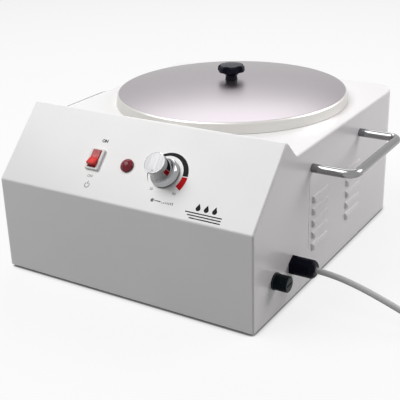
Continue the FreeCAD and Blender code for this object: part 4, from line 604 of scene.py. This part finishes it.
black_moulding = finish("black_moulding", (0.012, 0.013, 0.016), Roughness=0.4, Specular_IOR_Level=0.25)
moulded = place_on(black_moulding)
vary(
    black_moulding,
    "Base Color",
    speckle(black_moulding, moulded, 0.006),
    (0.008, 0.009, 0.011),
    (0.02, 0.021, 0.024),
)
raise_by(black_moulding, speckle(black_moulding, moulded, 0.0006), 0.00001, 0.4)
coat(black_moulding, "lamp_body", "fuse_holder", "fuse_holder_nut", "fuse_carrier")

lamp_middle = (Vector(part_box("lamp_lens")[0]) + Vector(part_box("lamp_lens")[1])) / 2
red_lens = finish(
    "red_lens", (0.2, 0.003, 0.012), Roughness=0.12, Specular_IOR_Level=0.3, Transmission_Weight=0.15
)
dome = place_on(red_lens, lamp_middle, turn=console_angles)
vary(red_lens, "Base Color", speckle(red_lens, dome, 0.003), (0.16, 0.001, 0.01), (0.36, 0.004, 0.03))
raise_by(red_lens, turned_lines(red_lens, dome, 0.0016, 0.0), 0.0001, 0.25)
coat(red_lens, "lamp_lens")

spring_steel = finish("spring_steel", (0.4, 0.4, 0.41), Metallic=1.0, Roughness=0.35)
vary(spring_steel, "Roughness", speckle(spring_steel, place_on(spring_steel), 0.002), 0.28, 0.45)
coat(spring_steel, "lamp_clip")


# ---- fuse holder and cable gland -----------------------------------------------------------
# Low on the right side: a panel fuse holder with a glossy screw cap, a glass fuse in its
# carrier, and a nylon cable gland whose dome nut squeezes a rubber seal round the cord.

black_cap = finish("black_cap", (0.002, 0.006, 0.009), Roughness=0.25, Specular_IOR_Level=0.08)
glossy = place_on(black_cap)
vary(black_cap, "Roughness", speckle(black_cap, glossy, 0.003), 0.15, 0.3)
vary(
    black_cap,
    "Base Color",
    speckle(black_cap, glossy, 0.005),
    (0.001, 0.004, 0.006),
    (0.004, 0.011, 0.014),
)
coat(black_cap, "fuse_cap")

fuse_glass = finish("fuse_glass", (0.95, 0.97, 0.96), Roughness=0.02, Transmission_Weight=1.0, IOR=1.5)
vary(fuse_glass, "Roughness", speckle(fuse_glass, place_on(fuse_glass), 0.004), 0.01, 0.05)
coat(fuse_glass, "fuse_link")

fuse_ends = finish("fuse_ends", (0.66, 0.63, 0.57), Metallic=1.0, Roughness=0.22)
vary(fuse_ends, "Roughness", speckle(fuse_ends, place_on(fuse_ends), 0.001), 0.16, 0.32)
coat(fuse_ends, "fuse_link_ends")

black_nylon = finish("black_nylon", (0.002, 0.002, 0.008), Roughness=0.3, Specular_IOR_Level=0.06)
nylon = place_on(black_nylon)
vary(
    black_nylon,
    "Base Color",
    speckle(black_nylon, nylon, 0.004),
    (0.001, 0.0012, 0.006),
    (0.004, 0.0045, 0.014),
)
vary(black_nylon, "Roughness", speckle(black_nylon, nylon, 0.0015), 0.26, 0.42)
raise_by(black_nylon, speckle(black_nylon, nylon, 0.0004), 0.00001, 0.5)
coat(black_nylon, "gland_body", "gland_locknut", "gland_dome")

seal_rubber = finish("seal_rubber", (0.015, 0.015, 0.015), Roughness=0.8)
raise_by(seal_rubber, speckle(seal_rubber, place_on(seal_rubber), 0.0005), 0.00003, 0.5)
coat(seal_rubber, "gland_seal")


# ---- handles -------------------------------------------------------------------------------
# A 9 mm steel bar on each side, bent to a flat U and bright chromed; at its ends it sits on
# short turned ferrules that show darker, and screws come through the side from within.

handle_chrome = finish("handle_chrome", (0.28, 0.28, 0.285), Metallic=1.0, Roughness=0.05)
plated = place_on(handle_chrome)
vary(handle_chrome, "Roughness", speckle(handle_chrome, plated, 0.012), 0.03, 0.07)
coat(handle_chrome, "handle_right", "handle_left")

ferrule_chrome = finish("ferrule_chrome", (0.2, 0.2, 0.21), Metallic=1.0, Roughness=0.22)
vary(ferrule_chrome, "Roughness", speckle(ferrule_chrome, place_on(ferrule_chrome), 0.0015), 0.15, 0.3)
coat(ferrule_chrome, "handle_ferrules")


# ---- terminal block ------------------------------------------------------------------------
# A three-way block of glazed steatite screwed to the base plate, where the mains leads end.

block_ceramic = finish("block_ceramic", (0.78, 0.76, 0.71), Roughness=0.4)
fired = place_on(block_ceramic)
vary(
    block_ceramic,
    "Base Color",
    speckle(block_ceramic, fired, 0.002),
    (0.72, 0.69, 0.63),
    (0.82, 0.8, 0.76),
)
raise_by(block_ceramic, speckle(block_ceramic, fired, 0.0008), 0.00003, 0.4)
coat(block_ceramic, "terminal_block")


# ---- pot, lid and lid knob -----------------------------------------------------------------
# The pot and its lid are spun from aluminium sheet and left with a fine turned satin. A star
# knob of black phenolic is screwed through the middle of the lid.

pot_aluminium = finish("pot_aluminium", (0.72, 0.72, 0.73), Metallic=1.0, Roughness=0.33)
spun = place_on(pot_aluminium, well_axis)
vary(
    pot_aluminium,
    "Base Color",
    speckle(pot_aluminium, spun, 0.04),
    (0.66, 0.66, 0.67),
    (0.77, 0.77, 0.775),
)
vary(pot_aluminium, "Roughness", turned_lines(pot_aluminium, spun, 0.0009), 0.24, 0.44)
raise_by(pot_aluminium, turned_lines(pot_aluminium, spun, 0.0012), 0.00003, 0.5)
coat(pot_aluminium, "pot")

lid_low, lid_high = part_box("lid")
skirt_inside = (lid_high.x - lid_low.x) / 2 - 0.0028
# Painted reflection: the lid's top is given a dark mauve-grey, far darker than its skirt of the same
# sheet, standing in for the darker room it reflects; only the skirt keeps a light aluminium tone.
lid_aluminium = finish("lid_aluminium", (0.295, 0.27, 0.288), Metallic=1.0, Roughness=0.27)
spun = place_on(lid_aluminium, well_axis)
level = add_node(lid_aluminium, "ShaderNodeVectorMath", operation="MULTIPLY")
level.inputs[1].default_value = (1, 1, 0)
reach = add_node(lid_aluminium, "ShaderNodeVectorMath", operation="LENGTH")
skirt = add_node(lid_aluminium, "ShaderNodeMapRange")
skirt.inputs["From Min"].default_value = skirt_inside - 0.0006
skirt.inputs["From Max"].default_value = skirt_inside
lid_aluminium.node_tree.links.new(spun, level.inputs[0])
lid_aluminium.node_tree.links.new(level.outputs[0], reach.inputs[0])
lid_aluminium.node_tree.links.new(reach.outputs["Value"], skirt.inputs["Value"])
vary(lid_aluminium, "Base Color", skirt.outputs["Result"], (0.295, 0.27, 0.288), (0.68, 0.67, 0.64))
vary(lid_aluminium, "Roughness", turned_lines(lid_aluminium, spun, 0.0015), 0.3, 0.32)
coat(lid_aluminium, "lid")

black_knob = finish("black_knob", (0.003, 0.004, 0.011), Roughness=0.35, Specular_IOR_Level=0.12)
moulded = place_on(black_knob)
vary(black_knob, "Roughness", speckle(black_knob, moulded, 0.004), 0.28, 0.4)
vary(
    black_knob,
    "Base Color",
    speckle(black_knob, moulded, 0.003),
    (0.002, 0.0025, 0.008),
    (0.006, 0.007, 0.018),
)
coat(black_knob, "lid_knob")


# ---- mains cord, its tie and the plug ------------------------------------------------------
# Light grey round PVC flex, 6 mm thick. It comes straight out of the gland, falls to the table
# and is put away in a two-layer coil held by a strap, with the earthed plug beside it.

CORD_THICKNESS = 0.006
gland_mouth = Vector((0.175, -0.0992, 0.039))
coil_low, coil_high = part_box("mains_cord_coil")
coil_middle = (coil_low + coil_high) / 2
outer_turn = (coil_high.x - coil_low.x) / 2 - CORD_THICKNESS / 2

cord_route = [
    gland_mouth + Vector((-0.016, 0, 0)),
    gland_mouth + Vector((0.005, 0, 0)),
    gland_mouth + Vector((0.026, 0, -0.0022)),
    gland_mouth + Vector((0.052, 0, -0.0085)),
    gland_mouth + Vector((0.081, 0, -0.0185)),
    gland_mouth + Vector((0.110, 0, -0.0295)),
    gland_mouth + Vector((0.137, 0, -0.0351)),
    gland_mouth + Vector((0.160, 0, -0.0352)),
]
STEPS_PER_TURN = 16
LAYER_TURNS = 3
LOW_LAYER = 0.0040
HIGH_LAYER = 0.0099
for step in range(1, 8 * STEPS_PER_TURN + 3):
    turns = step / STEPS_PER_TURN
    angle = 2 * math.pi * turns - math.pi / 2
    inward = min(turns, LAYER_TURNS) - max(0, min(turns - LAYER_TURNS - 1, LAYER_TURNS))
    rising = max(0, min(turns - LAYER_TURNS, 1))
    joining = max(0, 1 - turns * 2.5) * 0.005
    height = LOW_LAYER + (HIGH_LAYER - LOW_LAYER) * rising
    reach = outer_turn + joining - CORD_THICKNESS * 1.01 * inward
    cord_route.append(
        Vector((coil_middle.x + reach * math.cos(angle), coil_middle.y + reach * math.sin(angle), height))
    )
plug_low, plug_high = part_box("plug_body")
plug_x = (plug_low.x + plug_high.x) / 2
cord_route += [
    Vector((plug_x - 0.0025, coil_middle.y + 0.002, 0.0085)),
    Vector((plug_x - 0.0002, coil_middle.y + 0.016, 0.0075)),
    Vector((plug_x, plug_low.y - 0.019, 0.0085)),
    Vector((plug_x, plug_low.y, 0.009)),
]

cord_curve = bpy.data.curves.new("mains_cord_run", "CURVE")
cord_curve.dimensions = "3D"
cord_curve.bevel_depth = CORD_THICKNESS / 2
cord_curve.bevel_resolution = 5
cord_curve.resolution_u = 5
cord_curve.use_fill_caps = True
run = cord_curve.splines.new("NURBS")
run.points.add(len(cord_route) - 1)
for point, place in zip(run.points, cord_route):
    point.co = (*place, 1)
run.order_u = 3
run.use_endpoint_u = True
mains_cord = bpy.data.objects.new("mains_cord_run", cord_curve)
bpy.context.scene.collection.objects.link(mains_cord)

grey_cord = finish("grey_cord", (0.6, 0.6, 0.59), Roughness=0.5)
sheath = place_on(grey_cord)
vary(grey_cord, "Base Color", speckle(grey_cord, sheath, 0.02), (0.56, 0.56, 0.55), (0.64, 0.64, 0.63))
vary(grey_cord, "Roughness", speckle(grey_cord, sheath, 0.003), 0.44, 0.6)
raise_by(grey_cord, speckle(grey_cord, sheath, 0.0008), 0.00002, 0.4)
cord_curve.materials.append(grey_cord)

grey_plug = finish("grey_plug", (0.58, 0.58, 0.57), Roughness=0.42)
moulded = place_on(grey_plug)
vary(grey_plug, "Base Color", speckle(grey_plug, moulded, 0.012), (0.54, 0.54, 0.53), (0.62, 0.62, 0.61))
raise_by(grey_plug, speckle(grey_plug, moulded, 0.0007), 0.00003, 0.5)
coat(grey_plug, "plug_body")

plated_pins = finish("plated_pins", (0.68, 0.66, 0.6), Metallic=1.0, Roughness=0.22)
vary(plated_pins, "Roughness", speckle(plated_pins, place_on(plated_pins), 0.0015), 0.15, 0.32)
coat(plated_pins, "plug_pins")

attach(mains_cord, "chassis")
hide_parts("mains_cord", "mains_cord_coil", "mains_cord_tail")

TIE_WIDTH = 0.016
TIE_THICKNESS = 0.0009
TIE_OVERLAP = 0.0125
TIE_CORNER = CORD_THICKNESS * 0.45
bundle_depth = CORD_THICKNESS * (1.01 * LAYER_TURNS + 1) + 0.0004
bundle_low = LOW_LAYER - CORD_THICKNESS / 2
bundle_high = HIGH_LAYER + CORD_THICKNESS / 2 + 0.0001
bundle_y = coil_middle.y + outer_turn - CORD_THICKNESS * 1.01 * LAYER_TURNS / 2


def block(name, middle, sides):
    """A box of the given sides about its middle, alone in the selection."""
    bpy.ops.object.select_all(action="DESELECT")
    bpy.ops.mesh.primitive_cube_add(size=1)
    piece = bpy.context.object
    piece.name = name
    piece.location = middle
    piece.scale = sides
    bpy.ops.object.transform_apply(location=True, rotation=True, scale=True)
    return piece


def edit(piece, faces=None, edges=None):
    """Open a piece for editing with only the faces or edges selected that pass a test."""
    for part in (*piece.data.vertices, *piece.data.edges, *piece.data.polygons):
        part.select = False
    if faces:
        bpy.context.tool_settings.mesh_select_mode = (False, False, True)
        for face in piece.data.polygons:
            face.select = faces(face)
    else:
        bpy.context.tool_settings.mesh_select_mode = (False, True, False)
        for edge in piece.data.edges:
            ends = [piece.data.vertices[corner].co for corner in edge.vertices]
            edge.select = edges(*ends)
    bpy.ops.object.mode_set(mode="EDIT")


def modify(piece, kind, **values):
    """Add a modifier with the given values and apply it."""
    modifier = piece.modifiers.new(kind.lower(), kind)
    for name, value in values.items():
        setattr(modifier, name, value)
    bpy.ops.object.modifier_apply(modifier=modifier.name)


tie_middle = (coil_middle.x, bundle_y, (bundle_low + bundle_high) / 2)
cord_tie = block("cord_tie", tie_middle, (TIE_WIDTH, bundle_depth, bundle_high - bundle_low))
edit(cord_tie, faces=lambda face: abs(face.normal.x) > 0.9)
bpy.ops.mesh.delete(type="ONLY_FACE")
bpy.ops.object.mode_set(mode="OBJECT")
edit(cord_tie, edges=lambda start, end: abs(start.x - end.x) > TIE_WIDTH / 2)
bpy.ops.mesh.bevel(offset=TIE_CORNER, segments=6, affect="EDGES")
bpy.ops.object.mode_set(mode="OBJECT")
modify(cord_tie, "SOLIDIFY", thickness=TIE_THICKNESS, offset=1)
modify(cord_tie, "BEVEL", width=TIE_THICKNESS * 0.2, segments=2, angle_limit=math.radians(40))
bpy.ops.object.shade_smooth_by_angle(angle=math.radians(35))

flap_middle = (coil_middle.x, bundle_y - bundle_depth * 0.12, bundle_high + TIE_THICKNESS * 1.55)
tie_flap = block("cord_tie_end", flap_middle, (TIE_WIDTH * 0.94, TIE_OVERLAP, TIE_THICKNESS))


def far_upright(start, end):
    """True for the flap's upright edges at its free end, away from the strap's end."""
    return abs(start.z - end.z) > TIE_THICKNESS / 2 and start.y > flap_middle[1]


edit(tie_flap, edges=far_upright)
bpy.ops.mesh.bevel(offset=TIE_WIDTH * 0.25, segments=6, affect="EDGES")
bpy.ops.object.mode_set(mode="OBJECT")
modify(tie_flap, "BEVEL", width=TIE_THICKNESS * 0.3, segments=2, angle_limit=math.radians(40))
bpy.ops.object.shade_smooth_by_angle(angle=math.radians(35))

tie_fabric = finish("tie_fabric", (0.02, 0.02, 0.022), Roughness=0.9)
woven = place_on(tie_fabric)
vary(
    tie_fabric,
    "Base Color",
    speckle(tie_fabric, woven, 0.0006),
    (0.012, 0.012, 0.014),
    (0.045, 0.045, 0.048),
)
raise_by(tie_fabric, speckle(tie_fabric, woven, 0.0004), 0.0002, 0.7)
for piece in (cord_tie, tie_flap):
    piece.data.materials.append(tie_fabric)
    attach(piece, "chassis")
    piece.select_set(False)
